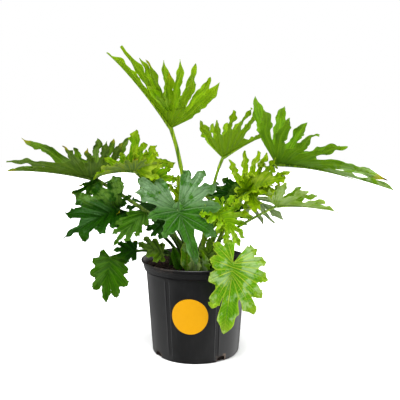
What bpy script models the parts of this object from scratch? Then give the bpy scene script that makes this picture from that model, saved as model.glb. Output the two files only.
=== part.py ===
"""A lacy tree philodendron in its nursery pot, at its real size.

Metres, +Z up. The origin is the middle of the pot's flat base, and -Y is the plant's front.
The pot, its round label, the soil and each leaf are solids of their own. A leaf is one stem and
one lobed blade, grown together, and its stem stands in a plain hole in the soil.
"""

import math
import random
from collections import namedtuple

import bmesh
import bpy
from mathutils import Vector

# The pot, of the size that growers sell as a 10-inch or three-gallon pot.
POT_HEIGHT = 0.240
LIP_RADIUS = 0.139
COLLAR_RADIUS = 0.1322
COLLAR_HEIGHT = 0.021
SHOULDER = 0.008
BODY_TOP_RADIUS = 0.1265
BASE_RADIUS = 0.1118
BASE_ROUNDING = 0.006
WALL = 0.0024
FLOOR = 0.0030
GAP = 0.0004

# Narrow upright channels in the pot's wall, and the arched drain holes at its foot.
CHANNELS = 6
FIRST_CHANNEL = -33.0
CHANNEL_WIDTH = 0.012
CHANNEL_DEPTH = 0.0014
CHANNEL_SLOPE = 0.0022
CHANNEL_FOOT = 0.018
CHANNEL_RUNOUT = 0.006
PLAIN_COLUMNS = 4
DRAIN_WIDTH = 0.024
DRAIN_HEIGHT = 0.015
DRAIN_BEARINGS = (34.0, -56.0, 124.0, -146.0)
DRAIN_CUT_START = 0.011
DRAIN_CUT_LENGTH = 0.030

# The round label on the front, bare.
LABEL_RADIUS = 0.0445
LABEL_HEIGHT = 0.123
LABEL_BEARING = -6.5
LABEL_THICKNESS = 0.0006

# The soil, and the holes that the stems stand in.
SOIL_EDGE = 0.223
SOIL_CROWN = 0.231
SOIL_LUMP = 0.0022
HOLE_DEPTH = 0.036
HOLE_OVERRUN = 0.020
STEM_CLEARANCE = 0.0004

# Stems. The first stretch is upright, and the last runs on under the blade as its rib.
STEM_SIDES = 6
STEM_NECK = 0.014
STEM_STEPS = 6
STEM_TAPER = 0.72
STEM_RISE = 0.65
STEM_REACH = 0.8
STEM_LEAN = 0.25
RIB_SHARES = (0.16, 0.34)
RIB_END_RADIUS = 0.0009

# Blades. Lengths without a unit are shares of the leaf's midrib, or of a lobe's own length.
BLADE = 0.0011
HALF_SPAN = 0.5
KEEL = 0.05
END_CUT = 0.30
USUAL_REACH = 0.6
TIP_ROUND = 0.8
NOTCH_BLEND = 0.25
NOTCH_GAP = 0.25
LARGE_ROWS = (0.25, 0.5, 0.75, 1.0)
SMALL_ROWS = (0.5, 1.0)
SMALL_LEAF = 0.115


def mix(a, b, share):
    return a + (b - a) * share


def ease(share):
    share = min(max(share, 0.0), 1.0)
    return share * share * (3.0 - 2.0 * share)


# Materials


def paint(name, colour, roughness):
    material = bpy.data.materials.new(name)
    material.use_nodes = True
    shader = material.node_tree.nodes["Principled BSDF"]
    shader.inputs["Base Color"].default_value = (*colour, 1.0)
    shader.inputs["Roughness"].default_value = roughness
    shader.inputs["Metallic"].default_value = 0.0
    return material


POT_PLASTIC = ("pot_plastic", (0.022, 0.023, 0.024), 0.42)
LABEL_PAPER = ("label_paper", (0.920, 0.480, 0.010), 0.45)
SOIL_MIX = ("soil_mix", (0.020, 0.010, 0.006), 0.95)
LEAF_COLOURS = {
    "bright": (0.150, 0.330, 0.004),
    "lime": (0.170, 0.360, 0.004),
    "mid": (0.080, 0.190, 0.006),
    "dark": (0.014, 0.090, 0.003),
    "glossy": (0.030, 0.130, 0.020),
}
LEAF_ROUGHNESS = 0.4


# Objects and meshes


def add_object(name, mesh, material=None):
    body = bpy.data.objects.new(name, mesh)
    bpy.context.scene.collection.objects.link(body)
    if material:
        mesh.materials.append(material)
    return body


def mesh_from(bm, name):
    mesh = bpy.data.meshes.new(name)
    bm.to_mesh(mesh)
    bm.free()
    return mesh


def bake_modifiers(body):
    """Give the object the mesh that its modifiers make, and drop them."""
    graph = bpy.context.evaluated_depsgraph_get()
    mesh = bpy.data.meshes.new_from_object(body.evaluated_get(graph))
    body.modifiers.clear()
    body.data = mesh


def is_closed(mesh):
    bm = bmesh.new()
    bm.from_mesh(mesh)
    closed = bool(bm.edges) and all(edge.is_manifold for edge in bm.edges)
    bm.free()
    return closed


def combine(body, tool, operation):
    """Join the tool to the body, or cut it out, and remove the tool."""
    before = body.data
    for solver in ("EXACT", "MANIFOLD"):
        body.data = before
        step = body.modifiers.new(operation.lower(), "BOOLEAN")
        step.operation = operation
        step.solver = solver
        step.object = tool
        bake_modifiers(body)
        if is_closed(body.data):
            break
    bpy.data.objects.remove(tool)


# The pot and what it holds

COLLAR_FOOT = POT_HEIGHT - COLLAR_HEIGHT
BODY_TOP = COLLAR_FOOT - SHOULDER
CHANNEL_TOP = BODY_TOP - CHANNEL_RUNOUT


def column_bearings():
    """Bearings of the mesh's columns: four at each channel, then evenly spaced plain ones."""
    half = math.degrees(CHANNEL_WIDTH / 2 / BODY_TOP_RADIUS)
    slope = math.degrees(CHANNEL_SLOPE / BODY_TOP_RADIUS)
    sector = 360.0 / CHANNELS
    step = (sector - 2 * half) / (PLAIN_COLUMNS + 1)
    bearings = []
    for k in range(CHANNELS):
        middle = FIRST_CHANNEL + sector * k
        bearings += [middle - half, middle - half + slope, middle + half - slope, middle + half]
        bearings += [middle + half + step * (j + 1) for j in range(PLAIN_COLUMNS)]
    return bearings


def on_ring(radius, bearing, height):
    """A point at a bearing measured from the front, towards +X."""
    turn = math.radians(bearing)
    return Vector((radius * math.sin(turn), -radius * math.cos(turn), height))


def turned(profile, bearings):
    """A closed profile of (radius, height) points, turned round Z through the given bearings."""
    bm = bmesh.new()
    steps = len(bearings)
    ring = [bm.verts.new((radius, 0.0, height)) for radius, height in profile]
    edges = [bm.edges.new(pair) for pair in zip(ring, ring[1:])]
    bmesh.ops.spin(
        bm, geom=ring + edges, axis=(0, 0, 1), cent=(0, 0, 0), angle=math.tau, steps=steps,
        use_merge=True,
    )
    bmesh.ops.remove_doubles(bm, verts=bm.verts, dist=1e-5)
    for vert in bm.verts:
        radius = math.hypot(vert.co.x, vert.co.y)
        if radius > 1e-4:
            column = round(math.atan2(vert.co.y, vert.co.x) / math.tau * steps) % steps
            vert.co = on_ring(radius, bearings[column], vert.co.z)
    bmesh.ops.recalc_face_normals(bm, faces=bm.faces)
    return bm


def body_radius(height):
    """The plain wall's outer radius."""
    share = (height - BASE_ROUNDING) / (BODY_TOP - BASE_ROUNDING)
    return mix(BASE_RADIUS, BODY_TOP_RADIUS, share)


def outer_profile():
    below_channel = CHANNEL_FOOT - CHANNEL_RUNOUT
    return [
        (BASE_RADIUS - BASE_ROUNDING, 0.0),
        (BASE_RADIUS - BASE_ROUNDING * 0.3, BASE_ROUNDING * 0.3),
        (BASE_RADIUS, BASE_ROUNDING),
        (body_radius(below_channel), below_channel),
        (body_radius(CHANNEL_FOOT), CHANNEL_FOOT),
        (body_radius(CHANNEL_TOP), CHANNEL_TOP),
        (body_radius(BODY_TOP), BODY_TOP),
        (BODY_TOP_RADIUS + 0.0020, COLLAR_FOOT - 0.0015),
        (COLLAR_RADIUS, COLLAR_FOOT),
        (COLLAR_RADIUS + 0.0015, POT_HEIGHT - 0.0085),
        (LIP_RADIUS, POT_HEIGHT - 0.0030),
    ]


def inner_profile(inset):
    """The inside of the wall from the lip down to the floor, moved in by inset."""
    return [
        (COLLAR_RADIUS - WALL + 0.0010 - inset, POT_HEIGHT - 0.0080),
        (BODY_TOP_RADIUS - WALL + 0.0015 - inset, COLLAR_FOOT - 0.0040),
        (body_radius(FLOOR) - WALL - inset, FLOOR + inset),
    ]


def build_pot():
    rim = [(LIP_RADIUS - 0.0012, POT_HEIGHT), (LIP_RADIUS - 0.0038, POT_HEIGHT - 0.0006)]
    profile = [(0.0, 0.0)] + outer_profile() + rim + inner_profile(0.0) + [(0.0, FLOOR)]
    bearings = column_bearings()
    bm = turned(profile, bearings)
    sunk = [b for k, b in enumerate(bearings) if k % (4 + PLAIN_COLUMNS) in (1, 2)]
    for vert in bm.verts:
        radius, height = math.hypot(vert.co.x, vert.co.y), vert.co.z
        in_channel = CHANNEL_FOOT - 1e-5 < height < CHANNEL_TOP + 1e-5
        if in_channel and radius > body_radius(height) - WALL / 2:
            bearing = math.degrees(math.atan2(vert.co.x, -vert.co.y))
            if any(abs((bearing - b + 180.0) % 360.0 - 180.0) < 0.01 for b in sunk):
                vert.co = on_ring(radius - CHANNEL_DEPTH, bearing, height)
    pot = add_object("pot", mesh_from(bm, "pot"), paint(*POT_PLASTIC))
    for bearing in DRAIN_BEARINGS:
        combine(pot, drain_cutter(bearing), "DIFFERENCE")


def drain_cutter(bearing):
    """An arch, flat below and round above, pushed through the wall at the pot's foot."""
    arch_steps = 6
    half = DRAIN_WIDTH / 2
    rise = half * 0.7
    outline = [(-half, -0.002), (half, -0.002)]
    for k in range(arch_steps + 1):
        turn = math.pi * k / arch_steps
        outline.append((half * math.cos(turn), DRAIN_HEIGHT - rise + rise * math.sin(turn)))
    out = on_ring(1.0, bearing, 0.0)
    across = on_ring(1.0, bearing + 90.0, 0.0)
    inside = out * (BASE_RADIUS - DRAIN_CUT_START)
    bm = bmesh.new()
    corners = [bm.verts.new(inside + across * x + Vector((0, 0, z))) for x, z in outline]
    pushed = bmesh.ops.extrude_face_region(bm, geom=[bm.faces.new(corners)])
    moved = [item for item in pushed["geom"] if isinstance(item, bmesh.types.BMVert)]
    bmesh.ops.translate(bm, verts=moved, vec=out * DRAIN_CUT_LENGTH)
    bmesh.ops.recalc_face_normals(bm, faces=bm.faces)
    return add_object("drain_cutter", mesh_from(bm, "drain_cutter"))


def soil_height(x, y):
    """The soil's surface: a low mound with slow lumps that fade out at the wall."""
    radius = math.hypot(x, y) / BODY_TOP_RADIUS
    lumps = math.sin(61.0 * x + 1.3) * math.cos(53.0 * y + 0.4) + 0.5 * math.sin(97.0 * (x + y))
    fade = ease(radius / 0.4) * ease((1.0 - radius) / 0.15)
    return mix(SOIL_CROWN, SOIL_EDGE, radius ** 2) + SOIL_LUMP * lumps * fade


def build_soil(leaves):
    wall = inner_profile(GAP)[::-1]
    above, below = wall[2], wall[1]
    edge = mix(below[0], above[0], (SOIL_EDGE - below[1]) / (above[1] - below[1]))
    rings = [(edge * share, SOIL_EDGE) for share in (1.0, 0.84, 0.66, 0.45, 0.0)]
    bm = turned([(0.0, FLOOR + GAP)] + wall[:2] + rings, column_bearings())
    for vert in bm.verts:
        if vert.co.z > SOIL_EDGE - 1e-5 and math.hypot(vert.co.x, vert.co.y) < edge - 1e-4:
            vert.co.z = soil_height(vert.co.x, vert.co.y)
    soil = add_object("soil", mesh_from(bm, "soil"), paint(*SOIL_MIX))
    for leaf in leaves:
        combine(soil, stem_hole(leaf), "DIFFERENCE")


def build_label():
    """A thin disc that follows the pot's round wall."""
    spokes, rings = 24, 3
    spoke = [(LABEL_RADIUS * k / rings, 0.0) for k in range(rings + 1)]
    bm = turned(spoke, [360.0 * k / spokes for k in range(spokes)])
    pushed = bmesh.ops.extrude_face_region(bm, geom=bm.faces[:], use_keep_orig=True)
    raised = {item for item in pushed["geom"] if isinstance(item, bmesh.types.BMVert)}
    for vert in bm.verts:
        height = LABEL_HEIGHT + vert.co.y
        lift = GAP + (LABEL_THICKNESS if vert in raised else 0.0)
        bearing = LABEL_BEARING + math.degrees(vert.co.x / body_radius(height))
        vert.co = on_ring(body_radius(height) + lift, bearing, height)
    bmesh.ops.recalc_face_normals(bm, faces=bm.faces)
    add_object("label", mesh_from(bm, "label"), paint(*LABEL_PAPER))


# The leaves, each described as it stands. Bearings of lobes are in degrees from the midrib's
# tip, reaches are from the joint in midrib lengths, and lists run from the tip backwards.

Leaf = namedtuple(
    "Leaf",
    "name root joint tip face left right basal fold curl arch cut front finger point end bow"
    " pleat ruffle scallop stray stem colour seed",
    defaults=(
        1, 0.0, 0.0, 20.0, 0.5, 0.55, 0.10, 2.4, 1.4, 0.05, 0.010, 0.02, 0.2, 0.08, 0.005, "mid", 1,
    ),
)

LEAVES = [
    Leaf(
        "leaf_crown", root=(-0.008, 0.020), joint=(-0.060, 0.020, 0.570),
        tip=(-0.217, 0.000, 0.755), face=(0.76, -0.10, 0.64),
        left=((13, 0.95), (28, 0.76), (44, 0.62), (66, 0.70), (82, 0.88)),
        right=((17, 0.78), (38, 0.73), (52, 0.78), (65, 0.84), (78, 0.80)),
        fold=50, arch=12, cut=0.36, front=0.22, finger=0.066, end=1.5, stem=0.0066,
        colour="bright", seed=11, point=3.0,
    ),
    Leaf(
        "leaf_left_high", root=(-0.030, 0.006), joint=(-0.248, 0.000, 0.443),
        tip=(-0.469, -0.030, 0.466), face=(0.05, -0.10, 1.00),
        left=((10, 0.97), (46, 0.57), (70, 0.46), (91, 0.58), (104, 0.62)),
        right=((25, 0.93), (46, 0.45), (80, 0.51), (98, 0.54), (110, 0.64)),
        fold=55, arch=16, cut=0.46, front=0.22, finger=0.070, end=1.3, stem=0.0062, colour="mid",
        seed=12, point=2.8,
    ),
    Leaf(
        "leaf_left_lime", root=(-0.022, -0.012), joint=(-0.140, -0.110, 0.473),
        tip=(-0.234, -0.135, 0.457), face=(0.05, -0.20, 0.97),
        left=((18, 0.80), (34, 0.62), (58, 0.50), (80, 0.46), (104, 0.48), (135, 0.66)),
        right=((31, 0.73), (57, 0.54), (91, 1.02), (102, 0.76), (119, 0.82), (150, 1.00)),
        basal=2, fold=56, arch=30, cut=0.56, front=0.36, finger=0.15, stem=0.0048, colour="lime",
        seed=13,
    ),
    Leaf(
        "leaf_front_centre", root=(-0.004, -0.030), joint=(-0.040, -0.130, 0.383),
        tip=(0.006, -0.125, 0.249), face=(0.10, -0.85, 0.50),
        left=((36, 0.78), (74, 0.74), (102, 0.80), (125, 0.80, 0.72), (141, 0.70, 0.80)),
        right=((51, 0.52), (98, 0.52), (134, 0.76), (150, 0.82, 0.72), (168, 0.62, 0.80)),
        basal=3, fold=8, curl=-10, arch=24, cut=0.58, front=0.12, finger=0.20, point=1.9,
        stem=0.0055, colour="glossy", seed=14, end=0.85,
    ),
    Leaf(
        "leaf_left_drooping", root=(-0.046, -0.012), joint=(-0.186, -0.070, 0.377),
        tip=(-0.311, -0.135, 0.311), face=(-0.30, -0.70, 0.65),
        left=((14, 0.78), (32, 0.60), (52, 0.48), (90, 0.34)),
        right=((29, 0.80), (51, 0.70), (79, 0.65), (111, 0.73)),
        fold=8, arch=24, cut=0.70, front=0.40, finger=0.28, point=2.2, end=0.45, stem=0.0042,
        colour="dark", seed=15,
    ),
    Leaf(
        "leaf_left_low", root=(-0.062, -0.016), joint=(-0.204, -0.100, 0.265),
        tip=(-0.212, -0.130, 0.161), face=(-0.10, -0.95, 0.25),
        left=((16, 0.90), (37, 0.76), (55, 0.55), (80, 0.45)),
        right=((20, 0.78), (41, 0.57), (68, 0.40), (110, 0.26)),
        fold=6, arch=24, cut=0.80, front=0.45, finger=0.26, point=1.5, end=1.0, stem=0.0040,
        colour="dark", seed=16,
    ),
    Leaf(
        "leaf_left_dark", root=(-0.046, -0.052), joint=(-0.139, -0.108, 0.284),
        tip=(-0.193, -0.122, 0.287), face=(0.00, -0.85, 0.50),
        left=((19, 0.90), (42, 0.72), (68, 0.52)),
        right=((22, 0.87), (48, 0.68), (80, 0.44)),
        arch=20, cut=0.72, finger=0.26, point=2.0, stem=0.0032, colour="dark", seed=17,
    ),
    Leaf(
        "leaf_left_small", root=(-0.036, -0.030), joint=(-0.115, -0.118, 0.377),
        tip=(-0.188, -0.165, 0.305), face=(-0.20, -0.85, 0.50),
        left=((12, 0.80), (25, 0.62), (42, 0.36)),
        right=((12, 0.84), (23, 0.68), (40, 0.42)),
        arch=30, cut=0.70, finger=0.16, point=1.8, end=0.8, stem=0.0036, colour="mid", seed=18,
    ),
    Leaf(
        "leaf_left_shaded", root=(-0.018, -0.046), joint=(-0.057, -0.114, 0.352),
        tip=(-0.116, -0.120, 0.334), face=(0.00, -0.80, 0.60),
        left=((20, 0.95), (42, 0.82), (66, 0.55)),
        right=((30, 0.80), (62, 0.58), (104, 0.48)),
        arch=30, cut=0.66, finger=0.24, point=1.8, stem=0.0034, colour="dark", seed=19,
    ),
    Leaf(
        "leaf_rim", root=(-0.034, -0.056), joint=(-0.078, -0.090, 0.270),
        tip=(-0.137, -0.100, 0.299), face=(0.10, -0.85, 0.50),
        left=((30, 0.66), (60, 0.46), (110, 0.28)),
        right=((18, 0.92), (34, 0.66), (62, 0.42)),
        arch=30, cut=0.70, finger=0.26, point=2.2, stem=0.0030, colour="mid", seed=20,
    ),
    Leaf(
        "leaf_right_high", root=(0.018, 0.036), joint=(0.069, 0.060, 0.493),
        tip=(0.195, 0.130, 0.553), face=(-0.45, 0.05, 0.88),
        left=((22, 1.00), (33, 0.94), (46, 0.90), (62, 0.83), (76, 0.83)),
        right=((31, 0.92), (45, 0.93), (64, 0.82), (89, 0.76), (105, 0.94)),
        fold=50, arch=10, cut=0.52, finger=0.085, front=0.25, stem=0.0052, colour="bright",
        seed=21,
    ),
    Leaf(
        "leaf_right_big", root=(0.034, 0.010), joint=(0.193, -0.050, 0.487),
        tip=(0.461, -0.100, 0.417), face=(0.15, -0.10, 1.00),
        left=((6, 0.94), (31, 0.58), (66, 0.52), (88, 0.66), (105, 0.80)),
        right=((13, 0.82), (34, 0.64), (54, 0.54), (80, 0.62), (95, 0.71)),
        fold=45, arch=24, cut=0.34, front=0.22, finger=0.090, end=1.1, stem=0.0066, colour="mid",
        seed=22,
    ),
    Leaf(
        "leaf_right_lime", root=(0.046, -0.022), joint=(0.121, -0.075, 0.416),
        tip=(0.225, -0.125, 0.471), face=(-0.30, -0.50, 0.80),
        left=((28, 0.85), (44, 0.84), (57, 0.84), (75, 0.86), (99, 0.86)),
        right=((30, 0.80), (50, 0.76), (72, 0.68), (98, 0.52), (126, 0.40)),
        fold=25, arch=14, cut=0.45, finger=0.10, front=0.35, stem=0.0045, colour="lime", seed=23,
    ),
    Leaf(
        "leaf_right_low", root=(0.030, -0.032), joint=(0.191, -0.090, 0.387),
        tip=(0.335, -0.110, 0.373), face=(0.10, -0.20, 1.00),
        left=((22, 0.70), (42, 0.57), (80, 0.45), (110, 0.42)),
        right=((19, 0.79), (53, 0.79), (77, 0.86), (92, 0.66)),
        fold=40, arch=24, cut=0.38, finger=0.11, front=0.25, stem=0.0040, colour="bright", seed=24,
    ),
    Leaf(
        "leaf_right_narrow", root=(0.056, 0.024), joint=(0.130, 0.020, 0.402),
        tip=(0.228, 0.030, 0.335), face=(0.20, 0.90, 0.35),
        left=((14, 0.95), (30, 0.90), (52, 0.75), (80, 0.62)),
        right=((18, 0.85), (38, 0.80), (62, 0.70), (92, 0.60)),
        fold=10, arch=14, cut=0.16, finger=0.10, front=0.15, stem=0.0036, colour="dark", seed=25,
    ),
    Leaf(
        "leaf_behind_right", root=(0.034, 0.036), joint=(0.116, 0.022, 0.412),
        tip=(0.024, 0.018, 0.395), face=(0.00, -0.98, 0.20),
        left=((20, 0.95), (42, 0.85), (66, 0.70)),
        right=((16, 0.85), (42, 0.60), (98, 0.40)),
        arch=24, cut=0.62, finger=0.20, stem=0.0036, colour="dark", seed=26,
    ),
    Leaf(
        "leaf_young", root=(0.012, -0.048), joint=(0.064, -0.085, 0.372),
        tip=(0.106, -0.100, 0.292), face=(0.10, -0.90, 0.40),
        left=((15, 0.91), (36, 0.74), (56, 0.84), (82, 0.60), (114, 0.62)),
        right=((22, 0.86), (44, 0.64), (68, 0.78), (102, 0.66), (140, 0.58)),
        arch=16, cut=0.36, finger=0.15, ruffle=0.05, front=0.45, stem=0.0032, colour="lime",
        seed=27,
    ),
    Leaf(
        "leaf_front_right", root=(0.042, -0.050), joint=(0.088, -0.140, 0.260),
        tip=(0.066, -0.175, 0.099), face=(0.10, -0.95, 0.25),
        left=((29, 0.76), (46, 0.62), (71, 0.54), (99, 0.47), (126, 0.39)),
        right=((19, 0.69), (47, 0.43), (90, 0.34), (128, 0.40), (158, 0.36)),
        fold=6, arch=16, cut=0.74, front=0.20, finger=0.25, point=1.3, end=1.9, stem=0.0045,
        colour="bright", seed=28,
    ),
    Leaf(
        "leaf_centre", root=(-0.016, 0.040), joint=(-0.037, 0.000, 0.374),
        tip=(-0.044, -0.008, 0.455), face=(0.05, -0.90, 0.20),
        left=((25, 0.80), (50, 0.52), (85, 0.36)),
        right=((25, 0.75), (50, 0.50), (85, 0.34)),
        fold=20, arch=14, cut=0.45, finger=0.14, stem=0.0036, colour="lime", seed=29,
    ),
    Leaf(
        "leaf_low_centre", root=(0.014, -0.076), joint=(0.030, -0.100, 0.249),
        tip=(0.034, -0.108, 0.314), face=(0.00, -1.00, 0.15),
        left=((28, 0.76), (58, 0.52), (95, 0.30)),
        right=((24, 0.80), (52, 0.55), (92, 0.32)),
        arch=20, cut=0.66, point=1.8, finger=0.24, stem=0.0028, colour="mid", seed=32,
    ),
    Leaf(
        "leaf_back_left", root=(-0.040, 0.042), joint=(-0.098, 0.100, 0.360),
        tip=(-0.152, 0.200, 0.300), face=(-0.10, 0.40, 0.90),
        left=((18, 0.92), (42, 0.80), (74, 0.72), (108, 0.74)),
        right=((22, 0.88), (47, 0.82), (78, 0.70), (112, 0.66)),
        fold=10, arch=40, cut=0.50, finger=0.18, stem=0.0045, colour="dark", seed=30,
    ),
    Leaf(
        "leaf_back_right", root=(0.010, 0.058), joint=(0.072, 0.130, 0.350),
        tip=(0.110, 0.246, 0.292), face=(0.10, 0.40, 0.90),
        left=((21, 0.90), (45, 0.78), (76, 0.74), (110, 0.70)),
        right=((19, 0.93), (43, 0.84), (72, 0.76), (106, 0.68)),
        fold=10, arch=40, cut=0.50, finger=0.18, stem=0.0045, colour="dark", seed=31,
    ),
    Leaf(
        "leaf_back_middle", root=(-0.012, 0.064), joint=(-0.004, 0.118, 0.404),
        tip=(0.008, 0.226, 0.376), face=(0.00, 0.30, 0.95),
        left=((20, 0.88), (44, 0.76), (76, 0.64), (110, 0.52)),
        right=((22, 0.90), (48, 0.72), (80, 0.60), (114, 0.54)),
        fold=12, arch=34, cut=0.50, finger=0.17, stem=0.0040, colour="dark", seed=33,
    ),
]


class Blade:
    """The curved surface that a leaf's flat outline is laid on."""

    def __init__(self, leaf):
        chord = Vector(leaf.tip) - Vector(leaf.joint)
        self.joint = Vector(leaf.joint)
        self.along = chord.normalized()
        face = Vector(leaf.face)
        self.up = (face - self.along * face.dot(self.along)).normalized()
        self.side = self.up.cross(self.along)
        self.turn = math.radians(max(leaf.arch, 1.0))
        self.length = chord.length * (self.turn / 2) / math.sin(self.turn / 2)
        self.fold = math.radians(leaf.fold)
        self.curl = math.radians(leaf.curl)

    def midrib(self, x):
        """The midrib's place and its forward and upward directions, at a share of its length."""
        start, now = self.turn / 2, self.turn / 2 - self.turn * x
        radius = self.length / self.turn
        place = self.joint + self.along * radius * (math.sin(start) - math.sin(now))
        place += self.up * radius * (math.cos(now) - math.cos(start))
        forward = self.along * math.cos(now) + self.up * math.sin(now)
        upward = self.up * math.cos(now) - self.along * math.sin(now)
        return place, forward, upward

    def place(self, x, y, side, bump=0.0):
        """The point x along the midrib and y out from it, on one side, raised by bump."""
        place, _, upward = self.midrib(x)
        out = abs(y) * self.length
        bend = self.curl / (HALF_SPAN * self.length)
        slope = self.fold + bend * out
        if abs(bend) < 1e-4:
            across, rise = out * math.cos(slope), out * math.sin(slope)
        else:
            across = (math.sin(slope) - math.sin(self.fold)) / bend
            rise = (math.cos(self.fold) - math.cos(slope)) / bend
        lean = slope * ease(abs(y) / KEEL)
        outward = self.side * side
        normal = upward * math.cos(lean) - outward * math.sin(lean)
        return place + outward * across + upward * rise + normal * bump * self.length


class Lobe:
    """One lobe of a half blade, drawn flat: x along the midrib and y out from it."""

    def __init__(self, leaf, base, tip, cut, bow, lift, draw):
        self.base = Vector((base, 0.0))
        self.tip = Vector(tip)
        self.cut = cut
        self.reach = self.tip - self.base
        self.bend = self.base + self.reach * 0.5 + Vector((-self.reach.y, self.reach.x)) * bow
        self.free = self.reach.length * (1.0 - cut)
        self.width = leaf.finger * mix(0.5, 1.0, self.reach.length / USUAL_REACH) / 2
        self.leaf = leaf
        self.lift = lift
        self.waves = {side: leaf.ruffle * draw.uniform(-1.0, 1.0) for side in (-1, 1)}
        self.phases = {side: draw.choice((-1.0, 1.0)) for side in (-1, 1)}
        self.feet = {-1: self.base, 1: self.base}
        self.notches = {}
        self.partings = {-1: 1.0, 1: 1.0}

    def vein(self, t):
        return mix(mix(self.base, self.bend, t), mix(self.bend, self.tip, t), t)

    def heading(self, t):
        return mix(self.bend - self.base, self.tip - self.bend, t).normalized()

    def room(self, t, side):
        """Half of the space between this lobe and its neighbour on one side."""
        gone = (self.vein(t) - self.base).length - (self.vein(self.cut) - self.base).length
        return (self.notches[side] - self.vein(self.cut)).length + gone * self.partings[side]

    def margin(self, t, side):
        """The edge on the side towards the tip, 1, or towards the joint, -1."""
        if t <= self.cut:
            return mix(self.feet[side], self.notches[side], t / self.cut)
        free = (t - self.cut) / (1.0 - self.cut)
        parted = ease(free / NOTCH_BLEND)
        heading = self.heading(t)
        out = Vector((heading.y, -heading.x)) * side
        taper = max(1.0 - free ** self.leaf.point, 0.0) ** TIP_ROUND
        wavy = 1.0 + self.leaf.scallop * self.phases[side] * math.cos(4 * math.pi * free)
        wide = min(self.width * taper * wavy, self.room(t, side) * (1.0 - NOTCH_GAP * parted))
        attached = (self.notches[side] - self.vein(self.cut)) * (1.0 - free)
        return self.vein(t) + mix(attached, out * wide, parted)

    def point(self, t, e):
        side = 1 if e > 0 else -1
        return mix(self.vein(t), self.margin(t, side), abs(e))

    def bump(self, t, e):
        """How far the lobe's surface stands up from the plain blade."""
        if t <= self.cut:
            return self.leaf.pleat * e * e * t / self.cut
        free = (t - self.cut) / (1.0 - self.cut)
        wave = self.waves[1 if e > 0 else -1] * abs(e) * math.sin(2 * math.pi * free)
        pleat = self.leaf.pleat * e * e * (1.0 - free) ** 2
        return pleat + wave + self.lift * free * free * self.free


def half_lobes(leaf, tips, end_lift, draw):
    """The lobes of one half blade, from the end of the midrib back to the joint."""
    forward = len(tips) - leaf.basal
    end = Lobe(leaf, leaf.front, (1.0, 0.0), END_CUT, 0.0, end_lift, draw)
    end.width *= leaf.end
    lobes = [end]
    for k, (bearing, reach, *cut) in enumerate(tips):
        turn = math.radians(bearing)
        tip = (reach * math.cos(turn), reach * math.sin(turn))
        base = leaf.front * max(0.0, 1.0 - (k + 0.8) / max(forward, 1))
        lift = leaf.stray * draw.uniform(-1.0, 1.0)
        lobes.append(Lobe(leaf, base, tip, cut[0] if cut else leaf.cut, leaf.bow, lift, draw))
    for ahead, behind in zip(lobes, lobes[1:]):
        foot = (ahead.base + behind.base) / 2
        notch = (ahead.vein(ahead.cut) + behind.vein(behind.cut)) / 2
        parting = math.sin(ahead.reach.angle(behind.reach) / 2)
        ahead.feet[-1] = behind.feet[1] = foot
        ahead.notches[-1] = behind.notches[1] = notch
        ahead.partings[-1] = behind.partings[1] = parting
    last = lobes[-1]
    heading = last.heading(last.cut)
    last.notches[-1] = last.vein(last.cut) - Vector((heading.y, -heading.x)) * last.width
    return lobes


def lobe_rows(cut, web_steps, free_rows):
    web = [cut * k / web_steps for k in range(web_steps + 1)]
    return web + [cut + (1.0 - cut) * row for row in free_rows]


def build_blade(leaf):
    """The blade as one open sheet, a strip for each lobe, given its thickness."""
    blade = Blade(leaf)
    large = blade.length > SMALL_LEAF
    web_steps, free_rows = (2, LARGE_ROWS) if large else (1, SMALL_ROWS)
    draw = random.Random(leaf.seed)
    end_lift = leaf.stray * draw.uniform(-1.0, 1.0)
    bm = bmesh.new()
    for side, tips in ((1, leaf.left), (-1, leaf.right)):
        for k, lobe in enumerate(half_lobes(leaf, tips, end_lift, draw)):
            rows = lobe_rows(lobe.cut, web_steps, free_rows)
            across = (-1.0, 0.0) if k == 0 else (-1.0, 0.0, 1.0)
            add_strip(bm, blade, lobe, side, rows, across)
    bmesh.ops.remove_doubles(bm, verts=bm.verts, dist=2e-5)
    bmesh.ops.triangulate(bm, faces=bm.faces)
    bmesh.ops.recalc_face_normals(bm, faces=bm.faces)
    colour = paint(leaf.name, LEAF_COLOURS[leaf.colour], LEAF_ROUGHNESS)
    body = add_object(leaf.name, mesh_from(bm, leaf.name), colour)
    thick = body.modifiers.new("thickness", "SOLIDIFY")
    thick.thickness = BLADE
    thick.offset = 0.0
    bake_modifiers(body)
    return body


def add_strip(bm, blade, lobe, side, rows, across):
    """A grid laid along one lobe, its points placed on the blade."""
    grid = bmesh.ops.create_grid(
        bm, x_segments=len(rows) - 1, y_segments=len(across) - 1, size=1.0,
    )
    for vert in grid["verts"]:
        t = rows[round((vert.co.x + 1.0) / 2.0 * (len(rows) - 1))]
        e = across[round((vert.co.y + 1.0) / 2.0 * (len(across) - 1))]
        flat = lobe.point(t, e)
        vert.co = blade.place(flat.x, flat.y, side, lobe.bump(t, e))


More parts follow.
